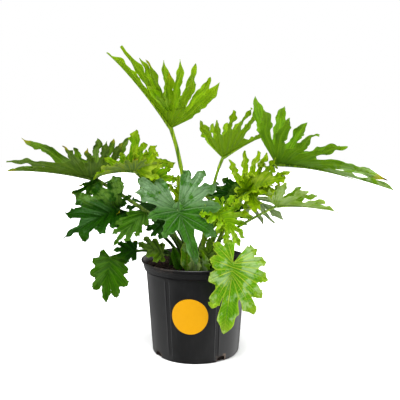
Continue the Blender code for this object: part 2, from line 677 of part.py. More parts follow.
def stem_path(leaf):
    """Points and radii of the stem, from its foot in the soil to the rib under the blade."""
    blade = Blade(leaf)
    x, y = leaf.root
    foot = Vector((x, y, SOIL_CROWN - HOLE_DEPTH))
    neck = Vector((x, y, SOIL_CROWN + STEM_NECK))
    joint = blade.joint
    run = (joint - neck).length
    rise = Vector((0, 0, 1)) * run * STEM_RISE
    arrive = mix((joint - neck).normalized(), blade.midrib(0.0)[1], STEM_LEAN)
    arrive = arrive.normalized() * run * STEM_REACH
    path, radii = [foot, neck], [leaf.stem, leaf.stem]
    end_radius = leaf.stem * STEM_TAPER
    for k in range(1, STEM_STEPS + 1):
        t = k / STEM_STEPS
        path.append(hermite(neck, rise, joint, arrive, t))
        radii.append(mix(leaf.stem, end_radius, t))
    path[-1] = path[-1] - blade.midrib(0.0)[2] * end_radius * 0.5
    for k, share in enumerate(RIB_SHARES):
        radius = mix(end_radius, RIB_END_RADIUS, (k + 1) / len(RIB_SHARES))
        place, _, upward = blade.midrib(share)
        path.append(place - upward * radius * 0.8)
        radii.append(radius)
    return path, radii


def hermite(start, leave, end, arrive, t):
    a, b = t * t * (3 - 2 * t), t * (1 - t) ** 2
    return start * (1 - a) + end * a + leave * b - arrive * t * t * (1 - t)


def tube(path, radii, sides):
    """A grid wrapped round a path, closed at its seam and ends."""
    rows = len(path) - 1
    bm = bmesh.new()
    grid = bmesh.ops.create_grid(bm, x_segments=sides, y_segments=rows, size=1.0)
    frames = tube_frames(path)
    for vert in grid["verts"]:
        turn = math.pi * (vert.co.x + 1.0)
        row = round((vert.co.y + 1.0) / 2.0 * rows)
        across, over = frames[row]
        vert.co = path[row] + (across * math.cos(turn) + over * math.sin(turn)) * radii[row]
    bmesh.ops.remove_doubles(bm, verts=bm.verts, dist=1e-5)
    bmesh.ops.holes_fill(bm, edges=[e for e in bm.edges if e.is_boundary], sides=sides)
    bmesh.ops.recalc_face_normals(bm, faces=bm.faces)
    return bm


def tube_frames(path):
    """Two directions across the path at each point, carried along without twisting."""
    frames, across, last = [], Vector((1, 0, 0)), Vector((0, 0, 1))
    for k in range(len(path)):
        ahead = path[min(k + 1, len(path) - 1)] - path[max(k - 1, 0)]
        heading = ahead.normalized()
        across = last.rotation_difference(heading) @ across
        across = (across - heading * across.dot(heading)).normalized()
        frames.append((across, heading.cross(across)))
        last = heading
    return frames


def stem_hole(leaf):
    """The cutter for one plain hole, a little wider and deeper than the stem's foot."""
    x, y = leaf.root
    radius = (leaf.stem + STEM_CLEARANCE) / math.cos(math.pi / STEM_SIDES)
    foot = Vector((x, y, SOIL_CROWN - HOLE_DEPTH - GAP))
    top = Vector((x, y, SOIL_CROWN + HOLE_OVERRUN))
    bm = tube([foot, top], [radius, radius], STEM_SIDES)
    return add_object("stem_hole", mesh_from(bm, "stem_hole"))


def build_leaf(leaf):
    body = build_blade(leaf)
    path, radii = stem_path(leaf)
    stem = add_object("stem", mesh_from(tube(path, radii, STEM_SIDES), "stem"))
    combine(body, stem, "UNION")
    body.data.name = leaf.name


def clear_scene():
    for body in list(bpy.data.objects):
        bpy.data.objects.remove(body)


clear_scene()
build_pot()
build_soil(LEAVES)
build_label()
for recipe in LEAVES:
    build_leaf(recipe)
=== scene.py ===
# %% [markdown]
# A lacy tree philodendron in its nursery pot
#
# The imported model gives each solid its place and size, and this script dresses it. Every leaf,
# the pot, its label and the soil are modelled again at a finer grain, on the same driving
# dimensions, so a dressed piece lies where its solid is. All lengths are in metres, +Z is up and
# the plant's front faces -Y.

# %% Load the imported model
import math
import random
from collections import namedtuple

import bmesh
import bpy
from mathutils import Matrix, Vector, noise


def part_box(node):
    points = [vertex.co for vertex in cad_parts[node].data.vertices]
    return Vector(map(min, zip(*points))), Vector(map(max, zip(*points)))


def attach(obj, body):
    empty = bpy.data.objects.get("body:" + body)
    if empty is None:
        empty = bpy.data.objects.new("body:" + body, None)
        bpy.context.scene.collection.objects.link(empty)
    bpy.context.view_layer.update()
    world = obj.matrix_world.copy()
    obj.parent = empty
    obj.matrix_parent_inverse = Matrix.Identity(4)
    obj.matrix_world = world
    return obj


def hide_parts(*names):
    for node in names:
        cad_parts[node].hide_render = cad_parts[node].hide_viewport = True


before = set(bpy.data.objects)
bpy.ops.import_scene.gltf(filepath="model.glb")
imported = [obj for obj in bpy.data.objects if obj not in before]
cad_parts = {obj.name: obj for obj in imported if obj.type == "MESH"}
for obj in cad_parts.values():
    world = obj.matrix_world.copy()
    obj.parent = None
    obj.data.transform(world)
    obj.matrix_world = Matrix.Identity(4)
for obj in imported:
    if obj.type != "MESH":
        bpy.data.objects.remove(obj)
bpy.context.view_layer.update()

# %% [markdown]
# The camera
#
# The picture was taken from a little above the pot's rim with a short telephoto lens, level from
# side to side. The rim's ellipse gives the pitch, and the pot's real height gives the distance.

# %% Place the camera
EYE = Vector((0.011, -1.5, 0.587))
PITCH = 7.5
LENS = 53.8

camera = bpy.data.objects.new("camera", bpy.data.cameras.new("camera"))
bpy.context.scene.collection.objects.link(camera)
camera.location = EYE
camera.rotation_euler = (math.radians(90.0 - PITCH), 0.0, 0.0)
camera.data.lens = LENS
camera.data.clip_end = 50.0
bpy.context.scene.camera = camera
print("camera", camera.data.lens, "mm, pitched", PITCH, "degrees down")

# %% [markdown]
# The studio
#
# The plant stands on white under one broad soft light from above and in front, with a weaker one
# behind. Two large softboxes at the sides show in the gloss alone: they draw the pale bands down
# the pot's sides. A white world gives the even fill. It is kept out of the reflections, because
# dark leaves and black plastic go grey when their gloss sees white all round: their shine should
# come from the soft lights alone.

# %% Light the studio
WORLD_STRENGTH = 1.0

Softbox = namedtuple("Softbox", "name strength width elevation bearing lights_matt shows_in_gloss")

SOFTBOXES = (
    Softbox("overhead_softbox", 4.8, 36.0, 62.0, -8.0, True, True),
    Softbox("left_softbox", 1.25, 112.0, 8.0, -104.0, False, True),
    Softbox("right_softbox", 3.2, 118.0, 8.0, 98.0, False, True),
    Softbox("back_softbox", 1.2, 60.0, 60.0, 165.0, True, False),
)


def add_softbox(box):
    """A soft far light. Bearing 0 shines from the front, and 90 from the right."""
    lamp = bpy.data.objects.new(box.name, bpy.data.lights.new(box.name, "SUN"))
    bpy.context.scene.collection.objects.link(lamp)
    lamp.data.energy = box.strength
    lamp.data.angle = math.radians(box.width)
    lamp.rotation_euler = (math.radians(90.0 - box.elevation), 0.0, math.radians(box.bearing))
    lamp.visible_diffuse = box.lights_matt
    lamp.visible_glossy = box.shows_in_gloss


world = bpy.data.worlds.new("white_studio")
bpy.context.scene.world = world
world.use_nodes = True
background = world.node_tree.nodes["Background"]
background.inputs["Color"].default_value = (1.0, 1.0, 1.0, 1.0)
background.inputs["Strength"].default_value = WORLD_STRENGTH
world.cycles_visibility.glossy = False
for box in SOFTBOXES:
    add_softbox(box)
bpy.context.scene.view_settings.view_transform = "Standard"

# %% [markdown]
# Finishes
#
# A finish is a small tree of shader nodes. These helpers keep each one short: they add a node,
# give its sockets values or links, and hand back the output that the next node reads. Most of
# the patterns read the object's coordinates in metres, so a grain has its real size.


# %% Helpers for finishes
class Finish:
    """A material under construction."""

    def __init__(self, name):
        self.material = bpy.data.materials.new(name)
        self.material.use_nodes = True
        self.tree = self.material.node_tree
        self.tree.nodes.clear()
        self.output = self.tree.nodes.new("ShaderNodeOutputMaterial")

    def add(self, kind, sockets, output=0, **settings):
        """A node with its sockets linked or set. Returns one of its outputs."""
        made = self.tree.nodes.new(kind)
        for key, value in settings.items():
            setattr(made, key, value)
        for key, value in sockets.items():
            if isinstance(value, bpy.types.NodeSocket):
                self.tree.links.new(value, made.inputs[key])
            else:
                made.inputs[key].default_value = value
        return made.outputs[output]

    def calc(self, operation, a, b=0.0, clamp=False):
        """A sum on two values, or a function of one."""
        settings = {"operation": operation, "use_clamp": clamp}
        return self.add("ShaderNodeMath", {0: a, 1: b}, **settings)

    def times(self, a, b):
        return self.calc("MULTIPLY", a, b)

    def blend(self, share, a, b):
        """A colour between a and b."""
        colours = [v if isinstance(v, bpy.types.NodeSocket) else (*v, 1.0) for v in (a, b)]
        sockets = {0: share, 6: colours[0], 7: colours[1]}
        return self.add("ShaderNodeMix", sockets, output=2, data_type="RGBA")

    def step(self, value, low, high, to_low=0.0, to_high=1.0):
        """A smooth step of value from low to high."""
        sockets = {"Value": value, "From Min": low, "From Max": high}
        sockets.update({"To Min": to_low, "To Max": to_high})
        return self.add("ShaderNodeMapRange", sockets, interpolation_type="SMOOTHSTEP")

    def noise(self, where, scale, detail=3.0, rough=0.5):
        sockets = {"Vector": where, "Scale": scale, "Detail": detail, "Roughness": rough}
        return self.add("ShaderNodeTexNoise", sockets)

    def stretch(self, where, scale):
        """The coordinates, scaled by a different amount on each axis."""
        return self.add("ShaderNodeMapping", {"Vector": where, "Scale": scale})

    def place(self):
        """The point itself, in metres from the object's origin."""
        return self.add("ShaderNodeTexCoord", {}, output="Object")

    def split(self, where):
        """The x, y and z of a point."""
        made = self.tree.nodes.new("ShaderNodeSeparateXYZ")
        self.tree.links.new(where, made.inputs[0])
        return made.outputs

    def bump(self, height, strength, distance):
        sockets = {"Height": height, "Strength": strength, "Distance": distance}
        return self.add("ShaderNodeBump", sockets)

    def surface(self, **sockets):
        """The shader itself, with its sockets by name."""
        named = {key.replace("_", " "): value for key, value in sockets.items()}
        return self.add("ShaderNodeBsdfPrincipled", named)

    def finish(self, shader):
        self.tree.links.new(shader, self.output.inputs["Surface"])
        return self.material


# %% [markdown]
# Small helpers for shapes
#
# Most pieces here begin as a grid or a turned profile whose points are then moved. A mix between
# two values and an eased step are all the arithmetic that these moves share. A finished piece
# rides with the model's one body and stands for its solids.


# %% Helpers for shapes
def mix(a, b, share):
    return a + (b - a) * share


def ease(share):
    share = min(max(share, 0.0), 1.0)
    return share * share * (3.0 - 2.0 * share)


def shade_smooth(mesh, sharp=None):
    """Smooth shading, in which edges past an angle in degrees stay crisp."""
    for face in mesh.polygons:
        face.use_smooth = True
    if sharp:
        mesh.set_sharp_from_angle(angle=math.radians(sharp))


def add_piece(name, bm, materials, smooth=True):
    """An object at the origin with the bmesh's shape. Frees the bmesh."""
    mesh = bpy.data.meshes.new(name)
    bm.to_mesh(mesh)
    bm.free()
    for material in materials:
        mesh.materials.append(material)
    if smooth:
        shade_smooth(mesh)
    piece = bpy.data.objects.new(name, mesh)
    bpy.context.scene.collection.objects.link(piece)
    return piece


def settle(piece, slot, *nodes):
    """Let a finished piece ride with the model and stand for its solids."""
    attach(piece, "root")
    if nodes:
        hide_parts(*nodes)
    print(piece.name, "faces:", len(piece.data.polygons))


def bake_modifiers(piece):
    """Put what the modifiers make into the piece's own mesh."""
    graph = bpy.context.evaluated_depsgraph_get()
    mesh = bpy.data.meshes.new_from_object(piece.evaluated_get(graph))
    piece.modifiers.clear()
    piece.data = mesh


# %% [markdown]
# The floor
#
# A wide sheet of white paper catches the plant's shadow. It runs far past the picture, so no
# edge of it shows, and it is left out of the reflections as the white world is.

# %% Lay the floor
FLOOR_REACH = 6.0


def white_floor():
    floor = Finish("white_floor")
    paper = floor.noise(floor.place(), 3.0)
    colour = floor.blend(paper, (0.90, 0.90, 0.90), (0.92, 0.92, 0.92))
    return floor.finish(floor.surface(Base_Color=colour, Roughness=0.9))


floor_mesh = bmesh.new()
bmesh.ops.create_grid(floor_mesh, x_segments=8, y_segments=8, size=FLOOR_REACH)
floor = add_piece("studio_floor", floor_mesh, [white_floor()])
floor.visible_glossy = False
print("floor laid", FLOOR_REACH * 2, "m wide")

# %% [markdown]
# The pot
#
# A grower's pot is blow-moulded from dark plastic: a thin wall with a stepped rim, shallow upright
# channels that stiffen it, and arched drain holes at its foot. An outline turned round the axis
# is the natural way to make it: the channels are then pressed into the turned wall, and the holes
# cut out of it. Its sizes come first, because the label and the soil are laid against them.

# %% Measure the pot
POT_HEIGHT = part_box("pot")[1].z
LIP_RADIUS = 0.139
LIP_HALF_WIDTH = 0.0021
LIP_ROLL = 0.0025
LIP_FOOT = POT_HEIGHT - 0.0030
COLLAR_RADIUS = 0.1322
COLLAR_FLARE = 0.0015
COLLAR_FOOT = POT_HEIGHT - 0.021
COLLAR_TOP = POT_HEIGHT - 0.0085
BODY_TOP = COLLAR_FOOT - 0.008
BODY_TOP_RADIUS = 0.1265
BASE_RADIUS = 0.1118
BASE_ROUNDING = 0.006
WALL = 0.0024
FLOOR = 0.0030


def on_ring(radius, bearing, height):
    """A point at a bearing measured from the front, towards +X."""
    turn = math.radians(bearing)
    return Vector((radius * math.sin(turn), -radius * math.cos(turn), height))


def body_radius(height):
    """The plain wall's outer radius."""
    share = (height - BASE_ROUNDING) / (BODY_TOP - BASE_ROUNDING)
    return mix(BASE_RADIUS, BODY_TOP_RADIUS, share)


print("pot:", round(2 * LIP_RADIUS, 3), "m across and", round(POT_HEIGHT, 3), "m tall")

# %% [markdown]
# The pot's outline
#
# Half of the pot's section is one closed line: out along the base, round its foot, up the
# tapered wall, over the step and the collar with its two fine rings, round the rolled lip, and
# down the inside to the floor. Each stretch has as many rows as its curve needs, and the wall
# has more, because the channels' ends will bend it.

# %% Draw the pot's outline
RING_HEIGHTS = (0.2235, 0.2275)
RING_RISE = 0.0005
RING_WIDTH = 0.0006
FOOT_ROWS = 6
WALL_ROWS = 26
STEP_ROWS = 5
COLLAR_ROWS = 20
FLARE_ROWS = 6
LIP_ROWS = 8
INNER_ROWS = 6
BASE_RINGS = (0.025, 0.050, 0.075, 0.096)
FLOOR_RINGS = (0.018, 0.036, 0.054, 0.072)
RIM_INSIDE = (COLLAR_RADIUS - WALL + 0.0010, POT_HEIGHT - 0.0080)
SHOULDER_INSIDE = (BODY_TOP_RADIUS - WALL + 0.0015, COLLAR_FOOT - 0.0040)


def rows_up(low, high, rows, radius_at):
    """Points from one height up to another, their radius worked out from share and height."""
    points = []
    for k in range(1, rows + 1):
        height = mix(low, high, k / rows)
        points.append((radius_at(k / rows, height), height))
    return points


def foot_rounding():
    """The quarter circle from the base up into the wall."""
    points = []
    for k in range(FOOT_ROWS + 1):
        turn = math.pi / 2 * k / FOOT_ROWS
        radius = BASE_RADIUS - BASE_ROUNDING * (1.0 - math.sin(turn))
        points.append((radius, BASE_ROUNDING * (1.0 - math.cos(turn))))
    return points


def wall_radius(share, height):
    return body_radius(height)


def step_radius(share, height):
    return mix(BODY_TOP_RADIUS, COLLAR_RADIUS, ease(share))


def collar_radius(share, height):
    """The collar flares a little, and its two rings stand out of it."""
    offs = [(height - ring) / RING_WIDTH for ring in RING_HEIGHTS]
    rise = sum(RING_RISE * math.exp(-(off ** 2)) for off in offs)
    return mix(COLLAR_RADIUS, COLLAR_RADIUS + COLLAR_FLARE, share) + rise


def flare_radius(share, height):
    return mix(COLLAR_RADIUS + COLLAR_FLARE, LIP_RADIUS, ease(share))


def outer_outline():
    """The outside from the foot up to the lip."""
    return (
        foot_rounding()
        + rows_up(BASE_ROUNDING, BODY_TOP, WALL_ROWS, wall_radius)
        + rows_up(BODY_TOP, COLLAR_FOOT, STEP_ROWS, step_radius)
        + rows_up(COLLAR_FOOT, COLLAR_TOP, COLLAR_ROWS, collar_radius)
        + rows_up(COLLAR_TOP, LIP_FOOT, FLARE_ROWS, flare_radius)
    )


def rolled_lip():
    """The lip's rounded top, from outside to inside."""
    points = []
    for k in range(1, LIP_ROWS):
        turn = math.pi * k / LIP_ROWS
        radius = LIP_RADIUS - LIP_HALF_WIDTH + LIP_HALF_WIDTH * math.cos(turn)
        points.append((radius, POT_HEIGHT - LIP_ROLL + LIP_ROLL * math.sin(turn)))
    return points


def inner_corners(inset):
    """The inside's corners from the lip down to the floor, moved in by inset."""
    corners = [(radius - inset, height) for radius, height in (RIM_INSIDE, SHOULDER_INSIDE)]
    return corners + [(body_radius(FLOOR) - WALL - inset, FLOOR + inset)]


def pot_outline():
    """The whole section, from the middle of the base round the lip to the middle of the floor."""
    base = [(0.0, 0.0)] + [(radius, 0.0) for radius in BASE_RINGS]
    corners = inner_corners(0.0)
    inside = []
    for a, b in zip(corners, corners[1:]):
        inside += [tuple(mix(Vector(a), Vector(b), k / INNER_ROWS)) for k in range(INNER_ROWS)]
    inside.append(corners[-1])
    floor_rings = [(corners[-1][0] - step, FLOOR) for step in FLOOR_RINGS] + [(0.0, FLOOR)]
    return base + outer_outline() + rolled_lip() + inside + floor_rings


print("points round the pot's section:", len(pot_outline()))

# %% [markdown]
# The turned wall
#
# Spin turns the outline round the axis in equal steps. The columns are then moved to bearings of
# their own, close together where a channel's edges have to be rounded and wide apart between.

# %% Turn the outline
CHANNELS = 6
SECTOR = 360.0 / CHANNELS
FIRST_CHANNEL = -33.0
CHANNEL_WIDTH = 0.0105
FINE_REACH = CHANNEL_WIDTH * 0.95
FINE_COLUMNS = 36
PLAIN_COLUMNS = 13


def column_bearings():
    """Bearings of the pot's columns, close together across each channel."""
    reach = math.degrees(FINE_REACH / BODY_TOP_RADIUS)
    bearings = []
    for k in range(CHANNELS):
        start = FIRST_CHANNEL + SECTOR * k - reach
        bearings += [start + 2 * reach * j / FINE_COLUMNS for j in range(FINE_COLUMNS)]
        plain, open_wall = start + 2 * reach, SECTOR - 2 * reach
        bearings += [plain + open_wall * j / PLAIN_COLUMNS for j in range(PLAIN_COLUMNS)]
    return bearings


def turned(profile, bearings):
    """A closed profile of (radius, height) points, turned round Z through the given bearings."""
    bm = bmesh.new()
    steps = len(bearings)
    ring = [bm.verts.new((radius, 0.0, height)) for radius, height in profile]
    edges = [bm.edges.new(pair) for pair in zip(ring, ring[1:])]
    bmesh.ops.spin(
        bm, geom=ring + edges, axis=(0, 0, 1), cent=(0, 0, 0), angle=math.tau, steps=steps,
        use_merge=True,
    )
    bmesh.ops.remove_doubles(bm, verts=bm.verts, dist=1e-5)
    for vert in bm.verts:
        radius = math.hypot(vert.co.x, vert.co.y)
        if radius > 1e-4:
            column = round(math.atan2(vert.co.y, vert.co.x) / math.tau * steps) % steps
            vert.co = on_ring(radius, bearings[column], vert.co.z)
    bmesh.ops.recalc_face_normals(bm, faces=bm.faces)
    return bm


print("columns round the pot:", len(column_bearings()))

# %% [markdown]
# The channels and the drain holes
#
# Each channel is a shallow groove with a flat bottom, rounded edges and soft ends, and a faint
# ridge on both sides where the plastic was pushed out. Only the wall's outer points move, so
# the inside stays plain. The drain holes go right through the foot, which is work for a Boolean.

# %% Press in the channels and cut the holes
CHANNEL_DEPTH = 0.0017
CHANNEL_SLOPE = 0.0012
CHANNEL_FOOT = 0.014
CHANNEL_TOP = BODY_TOP - 0.004
CHANNEL_RUNOUT = 0.008
RIDGE_RISE = 0.0004
RIDGE_WIDTH = 0.0013
DRAIN_WIDTH = 0.024
DRAIN_HEIGHT = 0.015
DRAIN_RISE = 0.7
DRAIN_BEARINGS = (34.0, -56.0, 124.0, -146.0)
ARCH_STEPS = 16
CUT_START = BASE_RADIUS - 0.011
CUT_LENGTH = 0.03
CUT_BELOW = -0.002


def channel_depth(bearing, height):
    """How deep the wall is pressed in at a point."""
    off = (bearing - FIRST_CHANNEL + SECTOR / 2) % SECTOR - SECTOR / 2
    across = abs(math.radians(off)) * body_radius(height)
    inside = ease((CHANNEL_WIDTH / 2 - across) / CHANNEL_SLOPE)
    ridge = math.exp(-(((across - CHANNEL_WIDTH / 2 - RIDGE_WIDTH) / RIDGE_WIDTH) ** 2))
    ends = min((height - CHANNEL_FOOT) / CHANNEL_RUNOUT, (CHANNEL_TOP - height) / CHANNEL_RUNOUT)
    return (CHANNEL_DEPTH * inside - RIDGE_RISE * ridge) * ease(ends)


def press_channels(bm):
    """Move the outer points of the tapered wall in by the channels' depth."""
    for vert in bm.verts:
        radius, height = math.hypot(vert.co.x, vert.co.y), vert.co.z
        if BASE_ROUNDING < height < BODY_TOP and radius > body_radius(height) - WALL / 2:
            bearing = math.degrees(math.atan2(vert.co.x, -vert.co.y))
            vert.co = on_ring(radius - channel_depth(bearing, height), bearing, height)


def drain_cutter(bearing):
    """An arch, flat below and round above, pushed through the wall at the pot's foot."""
    half = DRAIN_WIDTH / 2
    rise = half * DRAIN_RISE
    outline = [(-half, CUT_BELOW), (half, CUT_BELOW)]
    for k in range(ARCH_STEPS + 1):
        turn = math.pi * k / ARCH_STEPS
        outline.append((half * math.cos(turn), DRAIN_HEIGHT - rise + rise * math.sin(turn)))
    out = on_ring(1.0, bearing, 0.0)
    across = on_ring(1.0, bearing + 90.0, 0.0)
    start = out * CUT_START
    bm = bmesh.new()
    corners = [bm.verts.new(start + across * x + Vector((0, 0, z))) for x, z in outline]
    pushed = bmesh.ops.extrude_face_region(bm, geom=[bm.faces.new(corners)])
    moved = [item for item in pushed["geom"] if isinstance(item, bmesh.types.BMVert)]
    bmesh.ops.translate(bm, verts=moved, vec=out * CUT_LENGTH)
    bmesh.ops.recalc_face_normals(bm, faces=bm.faces)
    return add_piece("drain_cutter", bm, [], smooth=False)


def cut_out(body, tool):
    step = body.modifiers.new("cut", "BOOLEAN")
    step.operation = "DIFFERENCE"
    step.solver = "EXACT"
    step.object = tool
    bake_modifiers(body)
    bpy.data.objects.remove(tool)


print("channels:", CHANNELS, "drain holes:", len(DRAIN_BEARINGS))

# %% [markdown]
# The pot's plastic
#
# Recycled black plastic is never pure black: it is charcoal with a satin gloss, slightly cloudy,
# with fine upright drag marks from the mould. Potting soil dusts the rim and the edges of the
# drain holes in grey brown. Noise, stretched upright for the drag marks, gives each of these. The
# upper wall is painted darker as the shade of the leaves above, and the channels carry painted
# shade in their bottoms and painted highlights along their ridges.


# %% Mix the pot's plastic
DUST_REACH = 0.007
RIM_DUST = 0.4
HOLE_DUST = 0.40


def from_nearest(pot, bearing, first, count):
    """Metres round the wall from the nearest of some evenly spaced features."""
    turned_on = pot.calc("SUBTRACT", bearing, first - 360.0)
    away = pot.calc("PINGPONG", turned_on, 180.0 / count)
    return pot.times(away, math.radians(1.0) * BODY_TOP_RADIUS)


def paint_channel_shade_and_highlight(pot, colour, height, bearing):
    """Paint shade into the channels' bottoms and a highlight along the ridges beside them."""
    off = from_nearest(pot, bearing, FIRST_CHANNEL, CHANNELS)
    wall = pot.times(
        pot.step(height, CHANNEL_FOOT, CHANNEL_FOOT + 0.006),
        pot.step(height, CHANNEL_TOP, CHANNEL_TOP - 0.004),
    )
    # painted shade: each channel's bottom is darkened as if in shadow
    groove = pot.times(pot.step(off, CHANNEL_WIDTH / 2, CHANNEL_WIDTH / 2 - 0.002), wall)
    colour = pot.blend(pot.times(groove, 0.6), colour, (0.003, 0.003, 0.0032))
    # painted highlight: a paler line along each ridge beside a channel
    ridge_off = pot.calc("ABSOLUTE", pot.calc("SUBTRACT", off, CHANNEL_WIDTH / 2 + RIDGE_WIDTH))
    painted_ridge_highlight = pot.times(pot.step(ridge_off, 0.0016, 0.0004), wall)
    return pot.blend(pot.times(painted_ridge_highlight, 0.5), colour, (0.040, 0.040, 0.042))


def soil_dust(pot, axes, bearing, grains):
    """Where soil clings: along the rim at the left, and round the drain holes."""
    rim = pot.times(
        pot.step(axes[2], POT_HEIGHT - 0.018, POT_HEIGHT), pot.step(axes[0], -0.02, -0.13),
    )
    off = from_nearest(pot, bearing, DRAIN_BEARINGS[0], len(DRAIN_BEARINGS))
    hole = pot.times(
        pot.step(off, DRAIN_WIDTH / 2 + DUST_REACH, DRAIN_WIDTH / 2),
        pot.step(axes[2], DRAIN_HEIGHT + DUST_REACH, DRAIN_HEIGHT),
    )
    hole = pot.times(hole, pot.calc("ADD", grains, HOLE_DUST, clamp=True))
    rim = pot.times(rim, pot.times(grains, RIM_DUST))
    return pot.calc("ADD", rim, hole, clamp=True)


def pot_plastic():
    """Cloudy charcoal, painted darker upward as the leaves' shade, with drag marks, channels and
    dust.
    """
    pot = Finish("pot_plastic")
    place = pot.place()
    axes = pot.split(place)
    cloud = pot.step(pot.noise(place, 9.0, 4.0), 0.35, 0.65)
    deep = pot.blend(cloud, (0.0055, 0.0057, 0.0060), (0.0075, 0.0077, 0.0080))
    paler_lower_wall = pot.blend(cloud, (0.0090, 0.0091, 0.0093), (0.0120, 0.0121, 0.0123))
    # painted shade: the wall darkens from the foot up towards the rim, as shade from the leaves
    # above
    colour = pot.blend(pot.step(axes[2], BODY_TOP, 0.02), deep, paler_lower_wall)
    front = pot.times(axes[1], -1.0)
    bearing = pot.times(pot.calc("ARCTAN2", axes[0], front), math.degrees(1.0))
    colour = paint_channel_shade_and_highlight(pot, colour, axes[2], bearing)
    drag = pot.noise(pot.stretch(place, (420.0, 420.0, 6.0)), 1.0, 2.0)
    colour = pot.blend(pot.step(drag, 0.5, 0.8, 0.0, 0.35), colour, (0.022, 0.022, 0.023))
    specks = pot.noise(place, 210.0, 4.0, 0.7)
    grains = pot.step(pot.calc("ADD", specks, pot.noise(place, 30.0)), 0.94, 1.14)
    dust = soil_dust(pot, axes, bearing, grains)
    earth = pot.blend(grains, (0.040, 0.027, 0.019), (0.180, 0.125, 0.090))
    colour = pot.blend(dust, colour, earth)
    rough = pot.calc("ADD", pot.step(cloud, 0.0, 1.0, 0.30, 0.38), pot.times(dust, 0.4))
    relief = pot.calc("ADD", pot.times(drag, 0.5), pot.times(grains, 0.2))
    return pot.finish(pot.surface(
        Base_Color=colour, Roughness=rough, Normal=pot.bump(relief, 0.10, 0.0004),
        Specular_IOR_Level=0.42,
    ))


# %% Make the pot
def build_pot():
    bm = turned(pot_outline(), column_bearings())
    press_channels(bm)
    pot = add_piece("pot_wall", bm, [pot_plastic()])
    for bearing in DRAIN_BEARINGS:
        cut_out(pot, drain_cutter(bearing))
    shade_smooth(pot.data, sharp=38.0)
    return pot


settle(build_pot(), "pot_plastic", "pot")

# %% [markdown]
# The label
#
# The round sticker is coated amber paper, bare here. It is turned as a flat disc and given its
# thickness, and then each point is wrapped on to the pot's tapered wall, so it follows the curve
# all over. The coating is smooth, and faintly uneven where the paper bridges the wall's texture.

# %% Make the label
LABEL_RADIUS = 0.0445
LABEL_HEIGHT = 0.123
LABEL_BEARING = -6.5
LABEL_LIFT = 0.0004
LABEL_THICKNESS = 0.0006
LABEL_SPOKES = 96
LABEL_RINGS = 12


def label_paper():
    """Amber paper with a smooth coating, a little cloudy and uneven."""
    label = Finish("label_paper")
    place = label.place()
    colour = label.blend(
        label.noise(place, 60.0, 3.0), (0.420, 0.198, 0.001), (0.465, 0.224, 0.002),
    )
    return label.finish(label.surface(
        Base_Color=colour,
        Roughness=label.step(label.noise(place, 900.0, 2.0), 0.3, 0.7, 0.42, 0.52),
        Normal=label.bump(label.noise(place, 120.0, 4.0), 0.06, 0.0003),
        Specular_IOR_Level=0.25,
        Specular_Tint=(1.0, 0.70, 0.20, 1.0),
    ))


def build_label():
    outline = [(LABEL_RADIUS * k / LABEL_RINGS, 0.0) for k in range(LABEL_RINGS + 1)]
    bm = turned(outline, [360.0 * k / LABEL_SPOKES for k in range(LABEL_SPOKES)])
    pushed = bmesh.ops.extrude_face_region(bm, geom=bm.faces[:], use_keep_orig=True)
    raised = {item for item in pushed["geom"] if isinstance(item, bmesh.types.BMVert)}
    for vert in bm.verts:
        height = LABEL_HEIGHT + vert.co.y
        lift = LABEL_LIFT + (LABEL_THICKNESS if vert in raised else 0.0)
        bearing = LABEL_BEARING + math.degrees(vert.co.x / body_radius(height))
        vert.co = on_ring(body_radius(height) + lift, bearing, height)
    bmesh.ops.recalc_face_normals(bm, faces=bm.faces)
    label = add_piece("label_disc", bm, [label_paper()])
    shade_smooth(label.data, sharp=40.0)
    return label


settle(build_label(), "label_paper", "label")

# %% [markdown]
# The soil
#
# Potting mix is peat and composted bark: a lumpy bed, dark brown where it is moist and reddish
# where bark shows. It fills the pot with a hair's gap all round. The bed is a turned block whose
# top is lifted by a slow swell and several octaves of noise, so that it is rough in its shape and
# not only in its shading.


# %% Mix the soil's finishes
def soil_finish(name, moist, dry, bark, grain):
    """Clods of two browns with bark among them. The grain is the bark's scale."""
    soil = Finish(name)
    place = soil.place()
    clods = soil.step(soil.noise(place, grain * 0.25, 5.0, 0.65), 0.38, 0.66)
    chips = soil.step(soil.noise(place, grain, 3.0, 0.6), 0.56, 0.70)
    colour = soil.blend(chips, soil.blend(clods, moist, dry), bark)
    relief = soil.noise(place, grain * 2.0, 6.0, 0.75)
    return soil.finish(soil.surface(
        Base_Color=colour, Roughness=0.93, Normal=soil.bump(relief, 0.9, 0.0016),
        Specular_IOR_Level=0.25,
    ))


SOIL_MIX = soil_finish(
    "soil_mix", moist=(0.0070, 0.0036, 0.0022), dry=(0.024, 0.012, 0.007),
    bark=(0.050, 0.019, 0.009), grain=420.0,
)
BARK_CRUMBS = soil_finish(
    "bark_crumbs", moist=(0.010, 0.005, 0.003), dry=(0.036, 0.016, 0.009),
    bark=(0.085, 0.030, 0.014), grain=260.0,
)
print("soil finishes:", SOIL_MIX.name, "and", BARK_CRUMBS.name)

# %% Make the soil bed
GAP = 0.0004
SOIL_EDGE = 0.223
SOIL_CROWN = 0.231
SOIL_LUMP = 0.0022
CRUMB_RELIEF = 0.0034
BED_RINGS = 64
BED_SPOKES = 180
BED_WALL_ROWS = 10
BED_BASE_RINGS = 6


def soil_height(x, y):
    """The soil's surface: a low mound with slow lumps that fade out at the wall."""
    radius = math.hypot(x, y) / BODY_TOP_RADIUS
    lumps = math.sin(61.0 * x + 1.3) * math.cos(53.0 * y + 0.4) + 0.5 * math.sin(97.0 * (x + y))
    fade = ease(radius / 0.4) * ease((1.0 - radius) / 0.15)
    return mix(SOIL_CROWN, SOIL_EDGE, radius ** 2) + SOIL_LUMP * lumps * fade


def crumbled(x, y):
    """The swell with the crumbs' own relief on it."""
    fine = noise.turbulence(Vector((x, y, 0.3)) * 95.0, 4, False)
    return soil_height(x, y) + CRUMB_RELIEF * (fine - 0.5)


